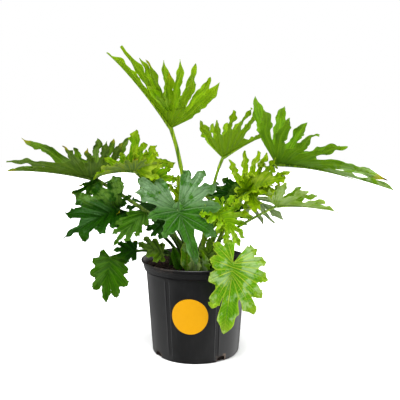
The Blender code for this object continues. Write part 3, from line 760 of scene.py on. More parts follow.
def build_soil():
    """The bed, turned as a plain block whose top is then lifted and roughened."""
    rim, shoulder, foot = inner_corners(GAP)
    share = (SOIL_EDGE - shoulder[1]) / (rim[1] - shoulder[1])
    edge = mix(shoulder[0], rim[0], share)
    under = [(foot[0] * k / BED_BASE_RINGS, foot[1]) for k in range(BED_BASE_RINGS)]
    rows = [k / BED_WALL_ROWS for k in range(BED_WALL_ROWS + 1)]
    wall = [tuple(mix(Vector(foot), Vector(shoulder), row)) for row in rows]
    top = [(edge * (1.0 - k / BED_RINGS), SOIL_EDGE) for k in range(BED_RINGS + 1)]
    bm = turned(under + wall + top, [360.0 * k / BED_SPOKES for k in range(BED_SPOKES)])
    for vert in bm.verts:
        if vert.co.z > SOIL_EDGE - 1e-5 and math.hypot(vert.co.x, vert.co.y) < edge - 1e-4:
            vert.co.z = crumbled(vert.co.x, vert.co.y)
    return add_piece("soil_bed", bm, [SOIL_MIX])


settle(build_soil(), "soil_mix", "soil")

# %% [markdown]
# The crumbs
#
# Loose crumbs lie all over the bed, most of them two or three millimetres long and a few nearly
# a centimetre, and a sprinkle of dust lies on the lip at the left. Each is squashed and turned at
# random from a fixed seed and sunk a little. All of them are one mesh, because thousands of
# objects would be slow, and each has only twenty faces.

# %% Scatter the crumbs
CRUMB_SEED = 7
CRUMBS = 1300
CRUMB_SIZES = (0.0009, 0.0034)
CRUMB_STRETCH = ((0.6, 1.5), (0.5, 1.1), (0.4, 0.8))
CRUMB_REACH = BODY_TOP_RADIUS + 0.0015
RIM_CRUMBS = 70
RIM_CRUMB_SIZES = (0.0004, 0.0011)
RIM_CRUMB_INSETS = (0.0004, 0.0036)
RIM_CRUMB_BEARING = -86.0
RIM_CRUMB_SPREAD = 22.0


def add_crumb(bm, place, size, draw):
    """One twenty-sided crumb, stretched and turned at random."""
    turn = Matrix.Rotation(draw.uniform(0.0, math.tau), 4, "Z")
    turn @= Matrix.Rotation(draw.uniform(-0.6, 0.6), 4, "X")
    shape = [size * draw.uniform(*stretch) for stretch in CRUMB_STRETCH]
    matrix = Matrix.Translation(place) @ turn @ Matrix.Diagonal((*shape, 1.0))
    made = bmesh.ops.create_icosphere(bm, subdivisions=1, radius=1.0, matrix=matrix)
    for vert in made["verts"]:
        vert.co = place + (vert.co - place) * draw.uniform(0.78, 1.2)


def scatter_crumbs():
    draw = random.Random(CRUMB_SEED)
    bm = bmesh.new()
    for _ in range(CRUMBS):
        radius, turn = CRUMB_REACH * math.sqrt(draw.random()), draw.uniform(0.0, math.tau)
        x, y = radius * math.cos(turn), radius * math.sin(turn)
        size = mix(*CRUMB_SIZES, draw.random() ** 2.2)
        add_crumb(bm, Vector((x, y, crumbled(x, y) + size * 0.2)), size, draw)
    for _ in range(RIM_CRUMBS):
        bearing = draw.gauss(RIM_CRUMB_BEARING, RIM_CRUMB_SPREAD)
        size = draw.uniform(*RIM_CRUMB_SIZES)
        radius = LIP_RADIUS - draw.uniform(*RIM_CRUMB_INSETS)
        add_crumb(bm, on_ring(radius, bearing, POT_HEIGHT + size * 0.1), size, draw)
    return add_piece("soil_crumbs", bm, [BARK_CRUMBS], smooth=False)


settle(scatter_crumbs(), "soil_mix")

# %% [markdown]
# The leaves' recipes
#
# Each leaf is one stem and one deeply lobed blade. A recipe places it as it stands: the foot of
# its stem, the joint, the tip, and the way the blade faces. Lobes are listed from the tip
# backwards, by bearing from the midrib in degrees and reach in midrib lengths, with a cut of
# their own where it differs. Fold, curl and arch bend the blade, in degrees. Cut is how deep the
# notches go, front how far along the midrib the lobes begin, finger their width, point and end
# the shape of their tips, and stem the petiole's radius. The last values are the look of the skin
# and the finer character of the margin: how many waves and teeth, how deep, how much it ripples
# and swells, and what share of the tips has dried.

# %% Say what a recipe holds
Leaf = namedtuple(
    "Leaf",
    "name root joint tip face left right basal fold curl arch cut front finger point end bow"
    " pleat ruffle stray stem colour seed look waves teeth tooth ripple swell dry",
    defaults=(
        1, 0.0, 0.0, 20.0, 0.5, 0.55, 0.10, 2.4, 1.4, 0.05, 0.010, 0.02, 0.08, 0.005, "mid", 1,
        "", 2.5, 3, 0.35, 0.010, 0.30, 0.04,
    ),
)

print("a recipe has", len(Leaf._fields), "values")

# %% [markdown]
# The crown and the leaves at the left
#
# The crown stands highest and folds into a cup. A broad leaf reaches far out at the left, others
# droop in front of it, and small dark leaves fill the shade over the rim.

# %% List the crown and the leaves at the left
LEAVES = [
    Leaf(
        "leaf_crown", root=(-0.008, 0.020), joint=(-0.060, 0.020, 0.570),
        tip=(-0.217, 0.000, 0.755), face=(0.76, -0.10, 0.64),
        left=((13, 0.95), (28, 0.76), (44, 0.62), (66, 0.70), (82, 0.88)),
        right=((17, 0.78), (38, 0.73), (52, 0.78), (65, 0.84), (78, 0.80)),
        fold=50, arch=12, cut=0.36, finger=0.066, front=0.22, end=1.5, stem=0.0066,
        colour="bright", seed=11, waves=3.2, teeth=3, tooth=0.40, ripple=0.014, swell=0.42,
        point=3.0,
    ),
    Leaf(
        "leaf_left_high", root=(-0.030, 0.006), joint=(-0.248, 0.000, 0.443),
        tip=(-0.469, -0.030, 0.466), face=(0.05, -0.10, 1.00),
        left=((10, 0.97), (46, 0.57), (70, 0.46), (91, 0.58), (104, 0.62)),
        right=((25, 0.93), (46, 0.45), (80, 0.51), (98, 0.54), (110, 0.64)),
        fold=55, arch=16, cut=0.46, finger=0.070, front=0.22, end=1.3, stem=0.0062, colour="mid",
        seed=12, waves=3.4, teeth=4, tooth=0.38, ripple=0.012, dry=0.35, swell=0.36, point=2.8,
    ),
    Leaf(
        "leaf_left_lime", root=(-0.022, -0.012), joint=(-0.140, -0.110, 0.473),
        tip=(-0.234, -0.135, 0.457), face=(0.05, -0.20, 0.97),
        left=((18, 0.80), (34, 0.62), (58, 0.50), (80, 0.46), (104, 0.48), (135, 0.66)),
        right=((31, 0.73), (57, 0.54), (91, 1.02), (102, 0.76), (119, 0.82), (150, 1.00)),
        fold=56, arch=30, finger=0.15, cut=0.56, basal=2, front=0.36, stem=0.0048, colour="lime",
        seed=13, look="varied", waves=2.4, teeth=3, tooth=0.32, ripple=0.022, dry=0.12, swell=0.20,
    ),
    Leaf(
        "leaf_front_centre", root=(-0.004, -0.030), joint=(-0.040, -0.130, 0.383),
        tip=(0.006, -0.125, 0.249), face=(0.10, -0.85, 0.50),
        left=((36, 0.78), (74, 0.74), (102, 0.80), (125, 0.80, 0.72), (141, 0.70, 0.80)),
        right=((51, 0.52), (98, 0.52), (134, 0.76), (150, 0.82, 0.72), (168, 0.62, 0.80)),
        fold=8, curl=-10, arch=24, cut=0.58, front=0.12, finger=0.20, basal=3, point=1.9,
        stem=0.0055, colour="glossy", seed=14, waves=1.6, teeth=3, tooth=0.16, ripple=0.014,
        swell=0.10, end=0.85,
    ),
    Leaf(
        "leaf_left_drooping", root=(-0.046, -0.012), joint=(-0.186, -0.070, 0.377),
        tip=(-0.311, -0.135, 0.311), face=(-0.30, -0.70, 0.65),
        left=((14, 0.78), (32, 0.60), (52, 0.48), (90, 0.34)),
        right=((29, 0.80), (51, 0.70), (79, 0.65), (111, 0.73)),
        fold=8, arch=24, cut=0.70, finger=0.28, front=0.40, end=0.45, point=2.2, stem=0.0042,
        colour="dark", seed=15, waves=1.6, teeth=2, tooth=0.20, ripple=0.014, swell=0.12,
    ),
    Leaf(
        "leaf_left_low", root=(-0.062, -0.016), joint=(-0.204, -0.100, 0.265),
        tip=(-0.212, -0.130, 0.161), face=(-0.10, -0.95, 0.25),
        left=((16, 0.90), (37, 0.76), (55, 0.55), (80, 0.45)),
        right=((20, 0.78), (41, 0.57), (68, 0.40), (110, 0.26)),
        fold=6, arch=24, cut=0.80, front=0.45, finger=0.26, point=1.5, end=1.0, stem=0.0040,
        colour="dark", seed=16, look="leafy", waves=1.4, teeth=2, tooth=0.24, ripple=0.012,
        swell=0.0,
    ),
    Leaf(
        "leaf_left_dark", root=(-0.046, -0.052), joint=(-0.139, -0.108, 0.284),
        tip=(-0.193, -0.122, 0.287), face=(0.00, -0.85, 0.50),
        left=((19, 0.90), (42, 0.72), (68, 0.52)),
        right=((22, 0.87), (48, 0.68), (80, 0.44)),
        arch=20, cut=0.72, finger=0.26, point=2.0, stem=0.0032, colour="dark", seed=17, waves=1.4,
        teeth=2, tooth=0.24, ripple=0.02, swell=0.0,
    ),
    Leaf(
        "leaf_left_small", root=(-0.036, -0.030), joint=(-0.115, -0.118, 0.377),
        tip=(-0.188, -0.165, 0.305), face=(-0.20, -0.85, 0.50),
        left=((12, 0.80), (25, 0.62), (42, 0.36)),
        right=((12, 0.84), (23, 0.68), (40, 0.42)),
        arch=30, cut=0.70, finger=0.16, point=1.8, end=0.8, stem=0.0036, colour="mid", seed=18,
        look="leafy", waves=1.6, teeth=2, tooth=0.26, ripple=0.016, swell=0.0,
    ),
    Leaf(
        "leaf_left_shaded", root=(-0.018, -0.046), joint=(-0.057, -0.114, 0.352),
        tip=(-0.116, -0.120, 0.334), face=(0.00, -0.80, 0.60),
        left=((20, 0.95), (42, 0.82), (66, 0.55)),
        right=((30, 0.80), (62, 0.58), (104, 0.48)),
        arch=30, cut=0.66, finger=0.24, point=1.8, stem=0.0034, colour="dark", seed=19, waves=1.6,
        teeth=2, tooth=0.26, ripple=0.02, swell=0.0,
    ),
    Leaf(
        "leaf_rim", root=(-0.034, -0.056), joint=(-0.078, -0.090, 0.270),
        tip=(-0.137, -0.100, 0.299), face=(0.10, -0.85, 0.50),
        left=((30, 0.66), (60, 0.46), (110, 0.28)),
        right=((18, 0.92), (34, 0.66), (62, 0.42)),
        arch=30, cut=0.70, finger=0.26, point=2.2, stem=0.0030, colour="mid", seed=20,
        waves=1.6, teeth=2, tooth=0.26, ripple=0.02, swell=0.0,
    ),
]
print("leaves so far:", len(LEAVES))

# %% [markdown]
# The leaves at the right
#
# The right side mirrors the left loosely. Its biggest leaf arches out over a narrow one that
# shows its pale underside, and a ruffled young leaf hangs in front of the stems.

# %% List the leaves at the right
LEAVES += [
    Leaf(
        "leaf_right_high", root=(0.018, 0.036), joint=(0.069, 0.060, 0.493),
        tip=(0.195, 0.130, 0.553), face=(-0.45, 0.05, 0.88),
        left=((22, 1.00), (33, 0.94), (46, 0.90), (62, 0.83), (76, 0.83)),
        right=((31, 0.92), (45, 0.93), (64, 0.82), (89, 0.76), (105, 0.94)),
        fold=50, arch=10, cut=0.52, finger=0.085, front=0.25, stem=0.0052, colour="bright",
        seed=21, waves=3.0, teeth=3, tooth=0.30, ripple=0.014, swell=0.40,
    ),
    Leaf(
        "leaf_right_big", root=(0.034, 0.010), joint=(0.193, -0.050, 0.487),
        tip=(0.461, -0.100, 0.417), face=(0.15, -0.10, 1.00),
        left=((6, 0.94), (31, 0.58), (66, 0.52), (88, 0.66), (105, 0.80)),
        right=((13, 0.82), (34, 0.64), (54, 0.54), (80, 0.62), (95, 0.71)),
        fold=45, arch=24, cut=0.34, finger=0.080, front=0.22, end=1.1, stem=0.0066, colour="mid",
        seed=22, look="fresh", waves=3.2, teeth=4, tooth=0.36, ripple=0.013, swell=0.10,
    ),
    Leaf(
        "leaf_right_lime", root=(0.046, -0.022), joint=(0.121, -0.075, 0.416),
        tip=(0.225, -0.125, 0.471), face=(-0.30, -0.50, 0.80),
        left=((28, 0.85), (44, 0.84), (57, 0.84), (75, 0.86), (99, 0.86)),
        right=((30, 0.80), (50, 0.76), (72, 0.68), (98, 0.52), (126, 0.40)),
        fold=25, arch=14, cut=0.45, finger=0.10, front=0.35, stem=0.0045, colour="lime", seed=23,
        waves=3.0, teeth=4, tooth=0.40, ripple=0.026, swell=0.30,
    ),
    Leaf(
        "leaf_right_low", root=(0.030, -0.032), joint=(0.191, -0.090, 0.387),
        tip=(0.335, -0.110, 0.373), face=(0.10, -0.20, 1.00),
        left=((22, 0.70), (42, 0.57), (80, 0.45), (110, 0.42)),
        right=((19, 0.79), (53, 0.79), (77, 0.86), (92, 0.66)),
        fold=40, arch=24, cut=0.38, finger=0.11, front=0.25, stem=0.0040, colour="bright", seed=24,
        look="silvery", waves=2.6, teeth=3, tooth=0.30, ripple=0.018, swell=0.24,
    ),
    Leaf(
        "leaf_right_narrow", root=(0.056, 0.024), joint=(0.130, 0.020, 0.402),
        tip=(0.228, 0.030, 0.335), face=(0.20, 0.90, 0.35),
        left=((14, 0.95), (30, 0.90), (52, 0.75), (80, 0.62)),
        right=((18, 0.85), (38, 0.80), (62, 0.70), (92, 0.60)),
        fold=10, arch=14, cut=0.16, finger=0.10, front=0.15, stem=0.0036, colour="dark", seed=25,
        look="pale", waves=2.4, teeth=2, tooth=0.30, ripple=0.012, dry=0.20, swell=0.25,
    ),
    Leaf(
        "leaf_behind_right", root=(0.034, 0.036), joint=(0.116, 0.022, 0.412),
        tip=(0.024, 0.018, 0.395), face=(0.00, -0.98, 0.20),
        left=((20, 0.95), (42, 0.85), (66, 0.70)),
        right=((16, 0.85), (42, 0.60), (98, 0.40)),
        arch=24, cut=0.62, finger=0.20, stem=0.0036, colour="dark", seed=26, waves=1.6, teeth=3,
        tooth=0.30, ripple=0.016,
    ),
    Leaf(
        "leaf_young", root=(0.012, -0.048), joint=(0.064, -0.085, 0.372),
        tip=(0.106, -0.100, 0.292), face=(0.10, -0.90, 0.40),
        left=((15, 0.91), (36, 0.74), (56, 0.84), (82, 0.60), (114, 0.62)),
        right=((22, 0.86), (44, 0.64), (68, 0.78), (102, 0.66), (140, 0.58)),
        arch=16, cut=0.36, finger=0.15, ruffle=0.05, front=0.45, stem=0.0032, colour="lime",
        seed=27, look="tender", waves=3.0, teeth=5, tooth=0.46, ripple=0.05,
    ),
    Leaf(
        "leaf_front_right", root=(0.042, -0.050), joint=(0.088, -0.140, 0.260),
        tip=(0.066, -0.175, 0.099), face=(0.10, -0.95, 0.25),
        left=((29, 0.76), (46, 0.62), (71, 0.54), (99, 0.47), (126, 0.39)),
        right=((19, 0.69), (47, 0.43), (90, 0.34), (128, 0.40), (158, 0.36)),
        fold=6, arch=16, cut=0.74, front=0.20, finger=0.25, point=1.3, end=1.9, stem=0.0045,
        colour="bright", seed=28, look="veined", waves=1.6, teeth=1, tooth=0.14, ripple=0.012,
        swell=-0.10,
    ),
]
print("leaves so far:", len(LEAVES))

# %% [markdown]
# The leaves in the middle and at the back
#
# Short leaves stand upright among the stems, and three plain ones at the back make the plant
# full from every side.

# %% List the leaves in the middle and at the back
LEAVES += [
    Leaf(
        "leaf_centre", root=(-0.016, 0.040), joint=(-0.037, 0.000, 0.374),
        tip=(-0.044, -0.008, 0.455), face=(0.05, -0.90, 0.20),
        left=((25, 0.80), (50, 0.52), (85, 0.36)),
        right=((25, 0.75), (50, 0.50), (85, 0.34)),
        fold=20, arch=14, cut=0.45, finger=0.14, stem=0.0036, colour="lime", seed=29, waves=2.4,
        teeth=3, tooth=0.40, ripple=0.02,
    ),
    Leaf(
        "leaf_low_centre", root=(0.014, -0.076), joint=(0.030, -0.100, 0.249),
        tip=(0.034, -0.108, 0.314), face=(0.00, -1.00, 0.15),
        left=((28, 0.76), (58, 0.52), (95, 0.30)),
        right=((24, 0.80), (52, 0.55), (92, 0.32)),
        arch=20, cut=0.66, point=1.8, finger=0.24, stem=0.0028, colour="mid", seed=32,
        waves=1.6, teeth=2, tooth=0.20, ripple=0.02, swell=0.0,
    ),
    Leaf(
        "leaf_back_left", root=(-0.040, 0.042), joint=(-0.098, 0.100, 0.360),
        tip=(-0.152, 0.200, 0.300), face=(-0.10, 0.40, 0.90),
        left=((18, 0.92), (42, 0.80), (74, 0.72), (108, 0.74)),
        right=((22, 0.88), (47, 0.82), (78, 0.70), (112, 0.66)),
        fold=10, arch=40, cut=0.50, finger=0.18, stem=0.0045, colour="dark", seed=30, waves=1.8,
        teeth=3, tooth=0.32, ripple=0.014,
    ),
    Leaf(
        "leaf_back_right", root=(0.010, 0.058), joint=(0.072, 0.130, 0.350),
        tip=(0.110, 0.246, 0.292), face=(0.10, 0.40, 0.90),
        left=((21, 0.90), (45, 0.78), (76, 0.74), (110, 0.70)),
        right=((19, 0.93), (43, 0.84), (72, 0.76), (106, 0.68)),
        fold=10, arch=40, cut=0.50, finger=0.18, stem=0.0045, colour="dark", seed=31, waves=1.8,
        teeth=3, tooth=0.32, ripple=0.014,
    ),
    Leaf(
        "leaf_back_middle", root=(-0.012, 0.064), joint=(-0.004, 0.118, 0.404),
        tip=(0.008, 0.226, 0.376), face=(0.00, 0.30, 0.95),
        left=((20, 0.88), (44, 0.76), (76, 0.64), (110, 0.52)),
        right=((22, 0.90), (48, 0.72), (80, 0.60), (114, 0.54)),
        fold=12, arch=34, cut=0.50, finger=0.17, stem=0.0040, colour="dark", seed=33, waves=1.8,
        teeth=3, tooth=0.32, ripple=0.014,
    ),
]
print("leaves:", len(LEAVES))

# %% [markdown]
# The curved blade
#
# A real blade is folded along its midrib and arches over towards its tip. It is easiest to draw
# the lobes flat, as on paper, and to bend the paper afterwards: this class turns a flat point,
# x along the midrib and y out from it, into its place in space. The same bending made the solids.

# %% Bend the blades
HALF_SPAN = 0.5
KEEL = 0.05


class Blade:
    """The curved surface that a leaf's flat outline is laid on."""

    def __init__(self, leaf):
        chord = Vector(leaf.tip) - Vector(leaf.joint)
        self.joint = Vector(leaf.joint)
        self.along = chord.normalized()
        face = Vector(leaf.face)
        self.up = (face - self.along * face.dot(self.along)).normalized()
        self.side = self.up.cross(self.along)
        self.turn = math.radians(max(leaf.arch, 1.0))
        self.length = chord.length * (self.turn / 2) / math.sin(self.turn / 2)
        self.fold = math.radians(leaf.fold)
        self.curl = math.radians(leaf.curl)

    def midrib(self, x):
        """The midrib's place and its forward and upward directions, at a share of its length."""
        start, now = self.turn / 2, self.turn / 2 - self.turn * x
        radius = self.length / self.turn
        place = self.joint + self.along * radius * (math.sin(start) - math.sin(now))
        place += self.up * radius * (math.cos(now) - math.cos(start))
        forward = self.along * math.cos(now) + self.up * math.sin(now)
        upward = self.up * math.cos(now) - self.along * math.sin(now)
        return place, forward, upward

    def place(self, x, y, side, bump=0.0):
        """The point x along the midrib and y out from it, on one side, raised by bump."""
        place, _, upward = self.midrib(x)
        out = abs(y) * self.length
        bend = self.curl / (HALF_SPAN * self.length)
        slope = self.fold + bend * out
        if abs(bend) < 1e-4:
            across, rise = out * math.cos(slope), out * math.sin(slope)
        else:
            across = (math.sin(slope) - math.sin(self.fold)) / bend
            rise = (math.cos(self.fold) - math.cos(slope)) / bend
        lean = slope * ease(abs(y) / KEEL)
        outward = self.side * side
        normal = upward * math.cos(lean) - outward * math.sin(lean)
        return place + outward * across + upward * rise + normal * bump * self.length


print("the crown leaf's midrib:", round(Blade(LEAVES[0]).length, 3), "m")

# %% [markdown]
# The lobes
#
# What makes this plant lacy is its margin: each blade is cut nearly to the midrib into lobes, and
# each lobe is waved and toothed, with a finger's swelling just before its tip. A lobe is drawn
# round its own vein. Its half width is a taper times a swelling and slow waves, and teeth that
# point forward are added to it. The edge of the free part ripples up and down.

# %% Draw the lobes
END_CUT = 0.30
USUAL_REACH = 0.6
TIP_ROUND = 0.8
NOTCH_BLEND = 0.25
NOTCH_GAP = 0.25
TOOTH_SPAN = 0.17
TOOTH_FALL = 0.45
MOST_SWING = 0.25
VEIN_GROOVE = 0.0009
GROOVE_WIDTH = 0.0022
WAVE_DEPTH = 0.12
SWELL_PLACE = 0.8
SWAY = 0.45
TWIST = 0.5
RIPPLES = (1.6, 2.8)
SWELLS = (0.6, 1.4)
DRIED_SHARES = (0.35, 1.0)
TOOTH_STRAY = 0.25
TOOTH_HEIGHTS = (0.4, 1.35)

Tooth = namedtuple("Tooth", "place height")


def square_to(heading):
    """The flat direction a quarter turn from a heading, towards the blade's tip."""
    return Vector((heading.y, -heading.x))


class Lobe:
    """One lobe of a half blade, drawn flat: x along the midrib and y out from it."""

    def __init__(self, leaf, base, tip, cut, bow, lift, draw):
        self.base = Vector((base, 0.0))
        self.tip = Vector(tip)
        self.cut = cut
        self.reach = self.tip - self.base
        self.bend = self.base + self.reach * 0.5 + Vector((-self.reach.y, self.reach.x)) * bow
        self.free = self.reach.length * (1.0 - cut)
        self.width = leaf.finger * mix(0.5, 1.0, self.reach.length / USUAL_REACH) / 2
        self.leaf = leaf
        self.lift = lift
        self.waves = {side: leaf.ruffle * draw.uniform(-1.0, 1.0) for side in (-1, 1)}
        self.phases = {side: draw.choice((-1.0, 1.0)) for side in (-1, 1)}
        self.feet = {-1: self.base, 1: self.base}
        self.notches = {}
        self.partings = {-1: 1.0, 1: 1.0}

    def give_character(self, draw):
        """The finer shape of this lobe's margin, its own draw of waves, teeth and ripples."""
        leaf = self.leaf
        self.slow = {side: draw.uniform(0.0, math.tau) for side in (-1, 1)}
        self.rippled = {side: draw.uniform(0.0, math.tau) for side in (-1, 1)}
        self.ripples = draw.uniform(*RIPPLES)
        self.sway = draw.uniform(-SWAY, SWAY)
        self.twist = draw.uniform(-TWIST, TWIST)
        self.swell = leaf.swell * draw.uniform(*SWELLS)
        self.dried = draw.uniform(*DRIED_SHARES) if draw.random() < leaf.dry else 0.0
        self.teeth = {side: self.row_of_teeth(draw) for side in (-1, 1)}

    def row_of_teeth(self, draw):
        """Teeth at nearly even places along one margin, some of them hardly there."""
        count, height = self.leaf.teeth, self.leaf.tooth
        strays = [draw.uniform(-TOOTH_STRAY, TOOTH_STRAY) for _ in range(count)]
        places = [(k + 0.8 + stray) / (count + 0.6) for k, stray in enumerate(strays)]
        return [Tooth(place, height * draw.uniform(*TOOTH_HEIGHTS)) for place in places]

    def line(self, t):
        """The vein's plain curve, from the midrib at 0 to the lobe's tip at 1."""
        return mix(mix(self.base, self.bend, t), mix(self.bend, self.tip, t), t)

    def heading(self, t):
        """The way that the plain curve runs."""
        return mix(self.bend - self.base, self.tip - self.bend, t).normalized()

    def swing(self, t):
        """How far the vein snakes off its line, in the free part."""
        free = max(0.0, (t - self.cut) / (1.0 - self.cut))
        reach = min(self.width, self.free * MOST_SWING)
        return self.sway * reach * math.sin(math.tau * free) * ease(free * 2.0)

    def vein(self, t):
        """The vein as it snakes."""
        return self.line(t) + square_to(self.heading(t)) * self.swing(t)

    def room(self, t, side):
        """Half of the space between this lobe and its neighbour on one side."""
        gone = (self.line(t) - self.base).length - (self.line(self.cut) - self.base).length
        wide = (self.notches[side] - self.line(self.cut)).length + gone * self.partings[side]
        return max(wide - abs(self.swing(t)), 0.0)

    def half_width(self, free, side):
        """How far the margin stands from the vein, free being 0 at the notch and 1 at the tip."""
        taper = max(1.0 - free ** self.leaf.point, 0.0) ** TIP_ROUND
        swollen = 1.0 + self.swell * math.sin(math.pi * (free / SWELL_PLACE) - math.pi / 2)
        waved = 1.0 + WAVE_DEPTH * math.sin(self.leaf.waves * math.tau * free + self.slow[side])
        waved += WAVE_DEPTH * self.phases[side] * math.cos(2 * math.tau * free)
        toothed = 0.0
        for tooth in self.teeth[side]:
            off = (free - tooth.place) / TOOTH_SPAN
            rise = ease(off + 1.0) if off < 0.0 else 1.0 - ease(off / TOOTH_FALL)
            toothed = max(toothed, tooth.height * rise)
        return self.width * (taper * swollen * waved + toothed * (1.0 - free ** 3))

    def margin(self, t, side):
        """The edge on the side towards the tip, 1, or towards the joint, -1."""
        if t <= self.cut:
            return mix(self.feet[side], self.notches[side], t / self.cut)
        free = (t - self.cut) / (1.0 - self.cut)
        parted = ease(free / NOTCH_BLEND)
        out = square_to(self.heading(t)) * side
        wide = min(self.half_width(free, side), self.room(t, side) * (1.0 - NOTCH_GAP * parted))
        attached = (self.notches[side] - self.line(self.cut)) * (1.0 - free)
        return self.vein(t) + mix(attached, out * wide, parted)

    def bump(self, t, e, across, length):
        """How far the lobe's surface stands up from the plain blade, in midrib lengths."""
        groove = -VEIN_GROOVE / length * math.exp(-((across / GROOVE_WIDTH) ** 2)) * ease(t * 6.0)
        if t <= self.cut:
            return self.leaf.pleat * e * e * t / self.cut + groove
        side = 1 if e > 0 else -1
        free = (t - self.cut) / (1.0 - self.cut)
        wave = self.waves[side] * abs(e) * math.sin(2 * math.pi * free)
        ripple = self.leaf.ripple * math.sin(self.ripples * math.tau * free + self.rippled[side])
        ripple *= e * e * ease(free * 3.0)
        twist = self.twist * e * self.width * ease(free)
        curl = self.lift * free * free * self.free
        return self.leaf.pleat * e * e * (1.0 - free) ** 2 + wave + ripple + twist + curl + groove


print("a margin's teeth stand", TOOTH_HEIGHTS, "times their usual height")

# %% [markdown]
# Neighbouring lobes
#
# Up to the notch, neighbouring lobes share a web, so a blade has no gap near its midrib. Each
# lobe's base and vein are set first. The foot and the notch between two of them then lie halfway
# between their veins, and the angle at which they part tells how much room each one has.


# %% Set the lobes side by side
def half_lobes(leaf, tips, end_lift, draw, fine):
    """The lobes of one half blade, from the end of the midrib back to the joint."""
    forward = len(tips) - leaf.basal
    end = Lobe(leaf, leaf.front, (1.0, 0.0), END_CUT, 0.0, end_lift, draw)
    end.width *= leaf.end
    lobes = [end]
    for k, (bearing, reach, *cut) in enumerate(tips):
        turn = math.radians(bearing)
        tip = (reach * math.cos(turn), reach * math.sin(turn))
        base = leaf.front * max(0.0, 1.0 - (k + 0.8) / max(forward, 1))
        lift = leaf.stray * draw.uniform(-1.0, 1.0)
        lobes.append(Lobe(leaf, base, tip, cut[0] if cut else leaf.cut, leaf.bow, lift, draw))
    for lobe in lobes:
        lobe.give_character(fine)
    end.sway = end.twist = 0.0
    for ahead, behind in zip(lobes, lobes[1:]):
        foot = (ahead.base + behind.base) / 2
        notch = (ahead.vein(ahead.cut) + behind.vein(behind.cut)) / 2
        parting = math.sin(ahead.reach.angle(behind.reach) / 2)
        ahead.feet[-1] = behind.feet[1] = foot
        ahead.notches[-1] = behind.notches[1] = notch
        ahead.partings[-1] = behind.partings[1] = parting
    last = lobes[-1]
    last.notches[-1] = last.vein(last.cut) - square_to(last.heading(last.cut)) * last.width
    return lobes


print("lobes in all:", sum(len(leaf.left) + len(leaf.right) + 1 for leaf in LEAVES))

# %% [markdown]
# The leaf's finishes
#
# A leaf's upper skin is waxed and glossy, darker between pale veins, yellow along its thin margin
# and brown where a tip has dried. In patches a pale painted sheen stands in for the gloss that the
# soft lights draw on it. Its underside is paler and duller. Light also passes through it: the
# inside of a folded blade glows with the light that falls on its back. Young leaves are lime green
# and old ones nearly black, so each leaf has a look. A look gives six colours, then how strongly
# veins and painted sheen show, the gloss, the roughness and the gloss's tint. The painted sheen
# lies above one height or below another, in metres, and a lower cover spreads it wider.

# %% Choose the leaves' colours
Look = namedtuple(
    "Look",
    "blade shade vein under bloom through veined bloomed gloss rough tint bloom_above bloom_below"
    " cover",
    defaults=((0.70, 1.00, 0.16), -1.0, -2.0, 0.535),
)
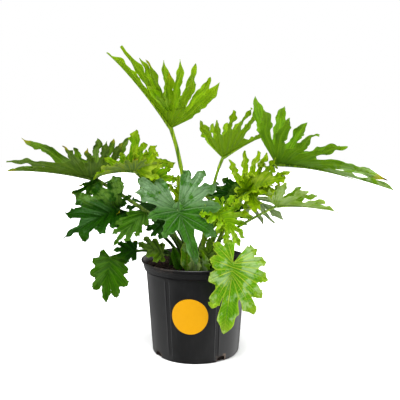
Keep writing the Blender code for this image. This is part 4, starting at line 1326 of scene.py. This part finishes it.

# In every look the pale patch colour is a painted sheen, laid into the base colour where the soft
# lights' gloss would show.
LOOKS = {
    "bright": Look(
        blade=(0.200, 0.365, 0.002), shade=(0.050, 0.130, 0.001), vein=(0.28, 0.38, 0.006),
        under=(0.160, 0.300, 0.003), bloom=(0.24, 0.37, 0.02), through=(0.38, 0.62, 0.002),
        veined=0.45, bloomed=0.20, gloss=0.10, rough=0.42, tint=(0.70, 1.00, 0.08),
    ),
    "fresh": Look(
        blade=(0.105, 0.252, 0.001), shade=(0.028, 0.092, 0.001), vein=(0.20, 0.33, 0.010),
        under=(0.105, 0.225, 0.006), bloom=(0.24, 0.34, 0.14), through=(0.28, 0.54, 0.002),
        veined=0.65, bloomed=0.90, gloss=0.14, rough=0.36,
        bloom_above=9.0, bloom_below=0.480, cover=0.490,
    ),
    "silvery": Look(
        blade=(0.150, 0.300, 0.004), shade=(0.050, 0.130, 0.002), vein=(0.32, 0.42, 0.08),
        under=(0.200, 0.320, 0.040), bloom=(0.36, 0.46, 0.20), through=(0.36, 0.58, 0.002),
        veined=0.55, bloomed=0.55, gloss=0.14, rough=0.40,
    ),
    "lime": Look(
        blade=(0.190, 0.325, 0.001), shade=(0.050, 0.140, 0.001), vein=(0.34, 0.46, 0.010),
        under=(0.160, 0.280, 0.006), bloom=(0.40, 0.48, 0.06), through=(0.45, 0.66, 0.002),
        veined=0.40, bloomed=0.40, gloss=0.12, rough=0.38, tint=(0.70, 1.00, 0.08),
    ),
    "tender": Look(
        blade=(0.175, 0.345, 0.001), shade=(0.040, 0.140, 0.001), vein=(0.38, 0.54, 0.010),
        under=(0.190, 0.350, 0.004), bloom=(0.50, 0.66, 0.10), through=(0.45, 0.78, 0.002),
        veined=0.45, bloomed=0.25, gloss=0.14, rough=0.34, tint=(0.80, 1.00, 0.20),
    ),
    "varied": Look(
        blade=(0.120, 0.270, 0.001), shade=(0.016, 0.075, 0.001), vein=(0.28, 0.36, 0.008),
        under=(0.110, 0.165, 0.050), bloom=(0.30, 0.38, 0.015), through=(0.28, 0.50, 0.002),
        veined=0.50, bloomed=0.35, gloss=0.12, rough=0.38, tint=(0.70, 1.00, 0.08),
    ),
    "mid": Look(
        blade=(0.080, 0.175, 0.003), shade=(0.012, 0.042, 0.001), vein=(0.14, 0.21, 0.025),
        under=(0.074, 0.142, 0.008), bloom=(0.14, 0.20, 0.07), through=(0.16, 0.34, 0.002),
        veined=0.60, bloomed=0.30, gloss=0.10, rough=0.40,
    ),
    "leafy": Look(
        blade=(0.024, 0.092, 0.0008), shade=(0.004, 0.032, 0.0004), vein=(0.07, 0.16, 0.006),
        under=(0.040, 0.110, 0.004), bloom=(0.10, 0.19, 0.04), through=(0.10, 0.34, 0.001),
        veined=0.50, bloomed=0.25, gloss=0.12, rough=0.34, tint=(0.55, 0.95, 0.20),
    ),
    # The dark look's pale patches, kept above a height, are painted light on the drooping leaf's
    # upper lobes, which the high leaf shades.
    "dark": Look(
        blade=(0.009, 0.053, 0.0005), shade=(0.002, 0.017, 0.0002), vein=(0.022, 0.085, 0.003),
        under=(0.020, 0.075, 0.005), bloom=(0.095, 0.190, 0.022), through=(0.035, 0.22, 0.001),
        veined=0.45, bloomed=0.95, gloss=0.14, rough=0.26, tint=(0.45, 0.90, 0.35),
        bloom_above=0.395, cover=0.480,
    ),
    # The glossy look's pale patches are a painted reflection of the overhead light on the front
    # leaf's upper lobes and its low tip.
    "glossy": Look(
        blade=(0.035, 0.150, 0.001), shade=(0.006, 0.046, 0.0006), vein=(0.140, 0.250, 0.085),
        under=(0.050, 0.110, 0.020), bloom=(0.190, 0.285, 0.165), through=(0.11, 0.36, 0.002),
        veined=0.55, bloomed=0.62, gloss=0.24, rough=0.28, tint=(0.70, 1.00, 0.70),
        bloom_above=0.392, bloom_below=0.300, cover=0.470,
    ),
    "veined": Look(
        blade=(0.098, 0.262, 0.005), shade=(0.028, 0.130, 0.002), vein=(0.43, 0.51, 0.035),
        under=(0.100, 0.200, 0.015), bloom=(0.34, 0.46, 0.22), through=(0.30, 0.58, 0.003),
        veined=0.90, bloomed=0.60, gloss=0.28, rough=0.26,
        cover=0.540,
    ),
    "pale": Look(
        blade=(0.025, 0.110, 0.001), shade=(0.008, 0.048, 0.0004), vein=(0.38, 0.46, 0.22),
        under=(0.240, 0.330, 0.140), bloom=(0.12, 0.20, 0.07), through=(0.24, 0.40, 0.020),
        veined=0.85, bloomed=0.25, gloss=0.14, rough=0.42,
    ),
}
print("looks:", ", ".join(LOOKS))

# %% [markdown]
# The veins
#
# Each leaf carries two maps of its own, one that measures metres from and along the nearest main
# vein, and one that tells how near the margin and the tip a point is, so the veins follow every
# lobe. Side veins leave the main one at a slant, at even steps that a little noise makes wander.

# %% Draw the veins
VEIN_HALF_WIDTHS = (0.0014, 0.0004)
SIDE_VEIN_SPACING = 0.0085
SIDE_VEIN_SLANT = 0.95
SIDE_VEIN_WANDER = 0.010

Veins = namedtuple("Veins", "main side streaks edge reach")


def draw_veins(leaf):
    """Shares of main vein, side vein and streaks at a point, with its place on the lobe."""
    from_vein = leaf.add("ShaderNodeUVMap", {}, uv_map="veins")
    across, along = leaf.split(from_vein)[:2]
    edge, reach = leaf.split(leaf.add("ShaderNodeUVMap", {}, uv_map="margins"))[:2]
    across = leaf.calc("ABSOLUTE", across)
    width = leaf.step(reach, 0.0, 1.0, *VEIN_HALF_WIDTHS)
    main = leaf.step(leaf.calc("DIVIDE", across, width), 1.6, 0.4)
    main = leaf.times(main, leaf.step(reach, 0.95, 0.35, 0.15, 1.0))
    wander = leaf.times(leaf.noise(leaf.place(), 45.0, 2.0), SIDE_VEIN_WANDER)
    phase = leaf.calc("SUBTRACT", along, leaf.times(across, SIDE_VEIN_SLANT))
    phase = leaf.calc("PINGPONG", leaf.calc("ADD", phase, wander), SIDE_VEIN_SPACING / 2)
    side = leaf.times(leaf.step(phase, 0.0008, 0.0001), leaf.step(edge, 1.0, 0.75))
    streaks = leaf.noise(leaf.stretch(from_vein, (165.0, 14.0, 1.0)), 1.0, 3.0, 0.6)
    return Veins(main, side, streaks, edge, reach)


# %% [markdown]
# The skin of the leaves
#
# The skin is laid on in the order in which the eye reads it: light and dark tones, side veins,
# painted sheen, the main vein, a heart darkened by painted shade where the lobes meet, paler tips
# and margin, and last the dried ends. The veins also press into the surface as a bump, and part
# of the light goes through.

# %% Mix the leaf finishes
PAINTED_SHEEN_BORDER = 0.065
PAINTED_SHEEN_FADE = 0.02
UNDERSIDE_ROUGHNESS = (0.50, 0.62)
UNDERSIDE_GLOSS = 0.12
DRY_TIP = (0.060, 0.030, 0.010)
YELLOWED = (0.270, 0.240, 0.006)
THROUGH_SHARE = 0.32


def painted_sheen_share(leaf, look, place, streaks):
    """Patches of painted sheen, broken up by the streaks and kept to some heights."""
    patches = leaf.noise(place, 34.0, 4.0, 0.6)
    low, high = look.cover - PAINTED_SHEEN_BORDER, look.cover + PAINTED_SHEEN_BORDER
    bloom = leaf.step(patches, low, high, 0.0, look.bloomed)
    bloom = leaf.times(bloom, leaf.step(streaks, 0.30, 0.60, 0.45, 1.0))
    height = leaf.split(place)[2]
    above = leaf.step(height, look.bloom_above - PAINTED_SHEEN_FADE, look.bloom_above + PAINTED_SHEEN_FADE)
    below = leaf.step(height, look.bloom_below + PAINTED_SHEEN_FADE, look.bloom_below - PAINTED_SHEEN_FADE)
    return leaf.times(bloom, leaf.calc("ADD", above, below, clamp=True))


def dried_shares(leaf, place):
    """How yellow and how brown a point is, with a ragged border round a dried tip."""
    dried = leaf.add("ShaderNodeAttribute", {}, output="Fac", attribute_name="dried")
    patchy = leaf.calc("ADD", dried, leaf.times(leaf.noise(place, 90.0), 0.5))
    patchy = leaf.times(patchy, leaf.step(dried, 0.0, 0.2))
    return leaf.step(patchy, 0.55, 0.95), leaf.step(patchy, 0.95, 1.20)


def fresh_colour(leaf, look, veins, place, streak, tones):
    """The living skin's colour, between two tones."""
    shade, blade = tones
    blotch = leaf.step(leaf.noise(place, 15.0, 3.0), 0.34, 0.66)
    tone = leaf.calc("ADD", leaf.times(streak, 0.62), leaf.times(blotch, 0.38))
    colour = leaf.blend(tone, shade, blade)
    colour = leaf.blend(leaf.times(veins.side, 0.42 * look.veined), colour, look.vein)
    # painted sheen: pale patches laid into the colour for the soft lights' gloss
    colour = leaf.blend(painted_sheen_share(leaf, look, place, veins.streaks), colour, look.bloom)
    colour = leaf.blend(leaf.times(veins.main, 0.9 * look.veined), colour, look.vein)
    # painted shade: darker near the midrib, where the lobes meet in the fold of the blade
    colour = leaf.blend(leaf.step(veins.reach, 0.45, 0.0, 0.0, 0.55), colour, shade)
    colour = leaf.blend(leaf.step(veins.reach, 0.65, 1.0, 0.0, 0.30), colour, look.vein)
    return leaf.blend(leaf.step(veins.edge, 0.80, 1.0, 0.0, 0.40), colour, look.vein)


def between(a, b, share):
    """A colour between two colours."""
    return tuple(mix(low, high, share) for low, high in zip(a, b))


def leaf_skin(name, look, under):
    """One side of a blade: its waxed skin, and the light that comes through it."""
    leaf = Finish(name)
    place = leaf.place()
    veins = draw_veins(leaf)
    streak = leaf.step(veins.streaks, 0.36, 0.62)
    yellow, brown = dried_shares(leaf, place)
    if under:
        tones = (between(look.under, look.shade, 0.6), look.under)
        roughness, gloss = UNDERSIDE_ROUGHNESS, UNDERSIDE_GLOSS
    else:
        tones = (look.shade, look.blade)
        roughness, gloss = (look.rough - 0.05, look.rough + 0.10), look.gloss
    colour = fresh_colour(leaf, look, veins, place, streak, tones)
    colour = leaf.blend(brown, leaf.blend(yellow, colour, YELLOWED), DRY_TIP)
    relief = leaf.calc("ADD", leaf.times(veins.side, -0.7), leaf.times(veins.main, -0.5))
    relief = leaf.calc("ADD", relief, leaf.times(veins.streaks, 1.2))
    skin = leaf.surface(
        Base_Color=colour, Roughness=leaf.step(leaf.noise(place, 55.0, 3.0), 0.3, 0.7, *roughness),
        Normal=leaf.bump(relief, 0.70, 0.0009), Specular_IOR_Level=gloss,
        Specular_Tint=(*look.tint, 1.0),
    )
    light = leaf.blend(leaf.times(streak, 0.6), look.blade, look.through)
    glow = leaf.add("ShaderNodeBsdfTranslucent", {"Color": leaf.blend(brown, light, DRY_TIP)})
    return leaf.finish(leaf.add("ShaderNodeMixShader", {0: THROUGH_SHARE, 1: skin, 2: glow}))


def stem_skin(name, light, dark):
    """A petiole: smooth, streaked along its length, painted darker towards the soil as shade."""
    stem = Finish(name)
    place = stem.place()
    streak = stem.noise(stem.stretch(place, (260.0, 260.0, 9.0)), 1.0, 3.0)
    colour = stem.blend(stem.step(streak, 0.35, 0.7), dark, light)
    fleck = stem.step(stem.noise(stem.stretch(place, (420.0, 420.0, 90.0)), 1.0, 2.0), 0.68, 0.76)
    colour = stem.blend(stem.times(fleck, 0.35), colour, (0.24, 0.36, 0.08))
    # painted shade: the stem darkens towards the soil, as in the shade under the leaves
    low = stem.step(stem.split(place)[2], 0.36, 0.24)
    colour = stem.blend(stem.times(low, 0.45), colour, dark)
    return stem.finish(stem.surface(
        Base_Color=colour, Roughness=0.42, Normal=stem.bump(streak, 0.12, 0.0006),
        Specular_IOR_Level=0.40, Specular_Tint=(0.85, 1.00, 0.45, 1.0),
    ))


FINISHES = {
    family: (
        leaf_skin("leaf_" + family, look, under=False),
        leaf_skin("leaf_" + family + "_under", look, under=True),
        stem_skin("stem_" + family, between(look.under, look.vein, 0.5), look.shade),
    )
    for family, look in LOOKS.items()
}
print("leaf finishes:", sum(len(skins) for skins in FINISHES.values()))

# %% [markdown]
# The blades
#
# Each lobe is a grid laid along its vein. Its points are placed flat by the lobe and then bent by
# the blade, neighbouring strips are welded along the web that they share, and Solidify gives the
# open sheet its thickness, with a second finish for the side that faces down.

# %% Make a blade
BLADE = 0.0008
WEB_ROWS = 7
FREE_ROWS = 30
COLUMNS = (0.0, 0.06, 0.16, 0.30, 0.46, 0.64, 0.80, 0.92, 1.0)
DRIED_FROM = 0.72


def add_strip(bm, blade, lobe, side, across):
    """A grid laid along one lobe, its points placed on the blade and its maps filled in."""
    rows = [lobe.cut * k / WEB_ROWS for k in range(WEB_ROWS + 1)]
    rows += [lobe.cut + (1.0 - lobe.cut) * (k + 1) / FREE_ROWS for k in range(FREE_ROWS)]
    grid = bmesh.ops.create_grid(
        bm, x_segments=len(rows) - 1, y_segments=len(across) - 1, size=1.0,
    )
    veins = bm.loops.layers.uv["veins"]
    margins = bm.loops.layers.uv["margins"]
    dried = bm.verts.layers.float["dried"]
    facts = {}
    for vert in grid["verts"]:
        t = rows[round((vert.co.x + 1.0) / 2.0 * (len(rows) - 1))]
        e = across[round((vert.co.y + 1.0) / 2.0 * (len(across) - 1))]
        vein, edge = lobe.vein(t), lobe.margin(t, 1 if e > 0 else -1)
        flat = mix(vein, edge, abs(e))
        out = (flat - vein).length * blade.length
        along = t * lobe.reach.length * blade.length
        bump = lobe.bump(t, e, out, blade.length)
        vert.co = blade.place(flat.x, flat.y, side, bump)
        vert[dried] = lobe.dried * ease((t - DRIED_FROM) / (1.0 - DRIED_FROM))
        facts[vert] = (math.copysign(out, e), along, abs(e), t)
    faces = list({face for vert in grid["verts"] for face in vert.link_faces})
    for face in faces:
        face.normal_update()
        for loop in face.loops:
            out, along, e, t = facts[loop.vert]
            loop[veins].uv = (out, along)
            loop[margins].uv = (e, t)
    if sum(face.normal.dot(blade.up) * face.calc_area() for face in faces) < 0.0:
        bmesh.ops.reverse_faces(bm, faces=faces)


def build_blade(leaf):
    """The blade as one open sheet, given its thickness, with its upper side outward."""
    blade = Blade(leaf)
    draw, fine = random.Random(leaf.seed), random.Random(leaf.seed + 500)
    end_lift = leaf.stray * draw.uniform(-1.0, 1.0)
    bm = bmesh.new()
    bm.loops.layers.uv.new("veins")
    bm.loops.layers.uv.new("margins")
    bm.verts.layers.float.new("dried")
    whole = [-e for e in COLUMNS[:0:-1]] + list(COLUMNS)
    for side, tips in ((1, leaf.left), (-1, leaf.right)):
        for k, lobe in enumerate(half_lobes(leaf, tips, end_lift, draw, fine)):
            across = [-e for e in COLUMNS[::-1]] if k == 0 else whole
            add_strip(bm, blade, lobe, side, across)
    bmesh.ops.remove_doubles(bm, verts=bm.verts, dist=2e-5)
    body = add_piece(leaf.name.replace("leaf_", "frond_"), bm, FINISHES[leaf.look or leaf.colour])
    thick = body.modifiers.new("thickness", "SOLIDIFY")
    thick.thickness = BLADE
    thick.offset = 0.0
    thick.material_offset = 1
    thick.material_offset_rim = 0
    bake_modifiers(body)
    return body


print("rows along a lobe:", WEB_ROWS + FREE_ROWS, "columns across it:", 2 * len(COLUMNS) - 2)

# %% [markdown]
# Small lobes
#
# A blade can carry small lobes that turn away from the rest. Some fingers of the crown's near side
# curl in over its cup, the high left leaf has a brownish lobe under its joint, the drooping leaf
# a rolled one above it, the two lime leaves have curled side lobes, and the young leaf is a whole
# bunch of frills. On the front leaf two scraps of web join lobes that are not cut right through.
# Each has a recipe like a leaf's, is built in the same way without a stem, and is joined to the
# frond that it grows on.


# %% Write the recipes of the small lobes
def finger(name, joint, tip, **settings):
    """A recipe for one narrow finger with no side lobes."""
    usual = dict(root=None, left=(), right=(), front=0.0, teeth=3, tooth=0.4, swell=0.3, fold=20)
    usual.update(settings)
    return Leaf(name, joint=joint, tip=tip, **usual)


def frill(name, joint, tip, face, seed, **settings):
    """A recipe for a small ruffled lobe with toothed side lobes."""
    usual = dict(
        root=None, left=((24, 0.86), (54, 0.74), (90, 0.60)),
        right=((28, 0.88), (59, 0.74), (97, 0.62)), arch=34, cut=0.30, front=0.60, finger=0.17,
        ruffle=0.06, teeth=4, tooth=0.50, ripple=0.06, waves=3.0, colour="lime", look="tender",
    )
    usual.update(settings)
    return Leaf(name, joint=joint, tip=tip, face=face, seed=seed, **usual)


SMALL_LOBES = {
    "leaf_crown": [
        finger(
            "leaf_crown_near", (-0.067, -0.005, 0.609), (-0.113, -0.050, 0.670),
            face=(0.50, -0.80, 0.30), arch=-40, finger=0.13, colour="lime", look="tender",
            seed=51,
        ),
        finger(
            "leaf_crown_inner", (-0.061, -0.007, 0.609), (-0.075, -0.055, 0.677),
            face=(0.30, -0.80, 0.40), arch=-36, finger=0.15, colour="lime", look="tender",
            seed=52,
        ),
        finger(
            "leaf_crown_side", (-0.045, -0.021, 0.613), (0.002, -0.060, 0.675),
            face=(-0.30, -0.80, 0.40), arch=-30, finger=0.18, ruffle=0.05, colour="lime",
            look="tender", seed=53,
        ),
    ],
    "leaf_front_centre": [
        finger(
            "leaf_joint_web", (-0.041, -0.129, 0.378), (-0.039, -0.124, 0.402),
            face=(0.10, -0.85, 0.50), arch=8, finger=0.60, teeth=0, swell=0.0, colour="glossy",
            seed=54,
        ),
        finger(
            "leaf_lobe_web", (-0.094, -0.130, 0.424), (-0.124, -0.130, 0.433),
            face=(0.00, -0.90, 0.43), arch=0, fold=0, finger=0.45, teeth=0, swell=0.0,
            colour="glossy", seed=55,
        ),
    ],
    "leaf_left_high": [
        Leaf(
            "leaf_basal_lobe", joint=(-0.247, -0.004, 0.445), tip=(-0.307, -0.030, 0.410),
            root=None, face=(-0.20, -0.80, -0.45), left=((26, 0.80), (60, 0.55)),
            right=((22, 0.74), (52, 0.46)), fold=38, arch=44, cut=0.55, finger=0.20, dry=1.0,
            teeth=2, colour="mid", look="leafy", seed=41,
        ),
    ],
    "leaf_left_lime": [
        frill(
            "leaf_lime_hanging", (-0.118, -0.104, 0.458), (-0.044, -0.085, 0.449),
            (0.20, -0.85, 0.40), 45, arch=44, finger=0.20, cut=0.55, look="varied",
        ),
        frill(
            "leaf_lime_upright", (-0.130, -0.112, 0.466), (-0.086, -0.120, 0.517),
            (0.10, -0.90, 0.30), 46, arch=16, finger=0.16, cut=0.45, look="lime",
        ),
    ],
    "leaf_left_drooping": [
        Leaf(
            "leaf_rolled_lobe", joint=(-0.184, -0.074, 0.377), tip=(-0.150, -0.092, 0.412),
            root=None, face=(-0.50, -0.75, 0.30), left=((30, 0.76), (70, 0.48)),
            right=((26, 0.80), (62, 0.50)), fold=36, arch=60, cut=0.70, finger=0.24, teeth=2,
            colour="dark", seed=42,
        ),
    ],
    "leaf_right_lime": [
        frill(
            "leaf_lime_curled", (0.126, -0.078, 0.420), (0.208, -0.135, 0.458),
            (-0.20, -0.70, 0.70), 47, arch=44, finger=0.20, cut=0.55, look="lime",
        ),
        frill(
            "leaf_lime_folded", (0.120, -0.080, 0.420), (0.114, -0.105, 0.469),
            (0.30, -0.85, 0.30), 48, arch=40, finger=0.18, cut=0.45, look="lime",
        ),
    ],
    "leaf_young": [
        frill(
            "leaf_side_frill", (0.062, -0.088, 0.366), (0.010, -0.132, 0.374),
            (0.10, -0.85, 0.50), 43,
        ),
        frill(
            "leaf_upper_frill", (0.064, -0.086, 0.370), (0.047, -0.097, 0.410),
            (0.20, -0.85, 0.40), 44,
        ),
    ],
}
print("small lobes:", sum(len(lobes) for lobes in SMALL_LOBES.values()))

# %% [markdown]
# The sheaths
#
# At the soil the stems are wrapped in pale green sheaths, the leftovers of younger growth. Each is
# an upright finger whose foot stands in the soil, folded round the stem behind it. All five are
# one piece, which stands for no solid.

# %% Make the sheaths
SHEATH_FOOT = 0.222
SHEATH_FORWARD = -0.012

Sheath = namedtuple("Sheath", "x y lean height width look")

SHEATHS = (
    Sheath(-0.020, -0.088, 0.000, 0.094, 0.020, "veined"),
    Sheath(-0.036, -0.080, -0.018, 0.070, 0.015, "leafy"),
    Sheath(-0.004, -0.096, 0.006, 0.060, 0.018, "silvery"),
    Sheath(0.016, -0.092, -0.004, 0.060, 0.026, "fresh"),
    Sheath(0.034, -0.084, 0.008, 0.066, 0.020, "veined"),
)


def add_lobe(whole, skins, small):
    """Build one small lobe, add it to a bmesh and its finishes to that bmesh's list."""
    lobe = build_blade(small)
    for face in lobe.data.polygons:
        face.material_index += len(skins)
    skins.extend(FINISHES[small.look or small.colour])
    whole.from_mesh(lobe.data)
    bpy.data.objects.remove(lobe)


def build_sheaths():
    """Upright fingers between the stems, each from its foot in the soil."""
    bm, skins = bmesh.new(), []
    for k, sheath in enumerate(SHEATHS):
        foot = Vector((sheath.x, sheath.y, SHEATH_FOOT))
        tip = foot + Vector((sheath.lean, SHEATH_FORWARD, sheath.height))
        add_lobe(bm, skins, finger(
            "leaf_sheath_%d" % k, foot, tip, face=(0.0, -1.0, 0.1), arch=10, fold=34,
            finger=sheath.width / sheath.height, teeth=1, tooth=0.1, swell=0.0,
            colour=sheath.look, seed=60 + k,
        ))
    return add_piece("base_sheaths", bm, skins)


settle(build_sheaths(), "leaf_mid")

# %% [markdown]
# The stems
#
# A petiole rises from the crown, leans out and arrives at the blade in line with its midrib,
# under which it runs on as a rib. It is a grid wrapped round a smooth path, thicker where it
# leaves the soil and again, slightly, at the joint, where the leaf turns to the light.

# %% Make a stem
STEM_SIDES = 14
STEM_NECK = 0.014
STEM_STEPS = 28
STEM_TAPER = 0.72
STEM_RISE = 0.65
STEM_REACH = 0.8
STEM_LEAN = 0.25
STEM_FOOT_SWELL = 0.30
STEM_JOINT_SWELL = 0.18
HOLE_DEPTH = 0.036
RIB_REACH = 0.80
RIB_STEPS = 16
RIB_END_RADIUS = 0.0005


def hermite(start, leave, end, arrive, t):
    """A point on the curve between two ends, which leaves and arrives along given directions."""
    a, b = t * t * (3 - 2 * t), t * (1 - t) ** 2
    return start * (1 - a) + end * a + leave * b - arrive * t * t * (1 - t)


def stem_path(leaf):
    """Points and radii of the stem, from its foot in the soil to the rib under the blade."""
    blade = Blade(leaf)
    x, y = leaf.root
    foot = Vector((x, y, SOIL_CROWN - HOLE_DEPTH))
    neck = Vector((x, y, SOIL_CROWN + STEM_NECK))
    joint = blade.joint
    run = (joint - neck).length
    rise = Vector((0, 0, 1)) * run * STEM_RISE
    arrive = mix((joint - neck).normalized(), blade.midrib(0.0)[1], STEM_LEAN)
    arrive = arrive.normalized() * run * STEM_REACH
    wide = leaf.stem * (1.0 + STEM_FOOT_SWELL)
    path, radii = [foot, mix(foot, neck, 0.5), neck], [wide, wide, wide]
    end_radius = leaf.stem * STEM_TAPER
    under = blade.midrib(0.0)[2]
    for k in range(1, STEM_STEPS + 1):
        t = k / STEM_STEPS
        swell = STEM_FOOT_SWELL * (1.0 - t) ** 4 + STEM_JOINT_SWELL * ease((t - 0.9) / 0.1)
        radius = mix(leaf.stem, end_radius, t) * (1.0 + swell)
        sink = under * end_radius * 0.5 * ease((t - 0.8) / 0.2)
        path.append(hermite(neck, rise, joint, arrive, t) - sink)
        radii.append(radius)
    for k in range(1, RIB_STEPS + 1):
        share = k / RIB_STEPS
        radius = mix(end_radius, RIB_END_RADIUS, share ** 0.7)
        place, _, upward = blade.midrib(share * RIB_REACH)
        path.append(place - upward * (radius * 0.75 + VEIN_GROOVE))
        radii.append(radius)
    return path, radii


def tube_frames(path):
    """Two directions across the path at each point, carried along without twisting."""
    frames, across, last = [], Vector((1, 0, 0)), Vector((0, 0, 1))
    for k in range(len(path)):
        ahead = path[min(k + 1, len(path) - 1)] - path[max(k - 1, 0)]
        heading = ahead.normalized()
        across = last.rotation_difference(heading) @ across
        across = (across - heading * across.dot(heading)).normalized()
        frames.append((across, heading.cross(across)))
        last = heading
    return frames


def tube(path, radii, sides):
    """A grid wrapped round a path, closed at its seam and ends."""
    rows = len(path) - 1
    bm = bmesh.new()
    grid = bmesh.ops.create_grid(bm, x_segments=sides, y_segments=rows, size=1.0)
    frames = tube_frames(path)
    for vert in grid["verts"]:
        turn = math.pi * (vert.co.x + 1.0)
        row = round((vert.co.y + 1.0) / 2.0 * rows)
        across, over = frames[row]
        vert.co = path[row] + (across * math.cos(turn) + over * math.sin(turn)) * radii[row]
    bmesh.ops.remove_doubles(bm, verts=bm.verts, dist=1e-5)
    bmesh.ops.holes_fill(bm, edges=[e for e in bm.edges if e.is_boundary], sides=sides)
    bmesh.ops.recalc_face_normals(bm, faces=bm.faces)
    return bm


print("points along a stem:", len(stem_path(LEAVES[0])[0]))

# %% [markdown]
# The fronds
#
# A leaf grows as one thing, so each frond is one piece: its blade, its stem and its small lobes
# are brought together in a single bmesh. A material index tells which finish each face wears.

# %% Make the fronds
STEM_SKIN = 2


def build_frond(leaf):
    """One stem, its blade and any small lobes that grow on it, in a single piece."""
    body = build_blade(leaf)
    stem = tube(*stem_path(leaf), STEM_SIDES)
    for face in stem.faces:
        face.material_index = STEM_SKIN
    stem_mesh = bpy.data.meshes.new("stem")
    stem.to_mesh(stem_mesh)
    stem.free()
    whole, skins = bmesh.new(), list(FINISHES[leaf.look or leaf.colour])
    whole.from_mesh(body.data)
    whole.from_mesh(stem_mesh)
    bpy.data.meshes.remove(stem_mesh)
    for small in SMALL_LOBES.get(leaf.name, ()):
        add_lobe(whole, skins, small)
    whole.to_mesh(body.data)
    whole.free()
    for skin in skins[len(body.data.materials):]:
        body.data.materials.append(skin)
    shade_smooth(body.data, sharp=55.0)
    return body


for leaf in LEAVES:
    settle(build_frond(leaf), "leaf_" + leaf.colour, leaf.name)
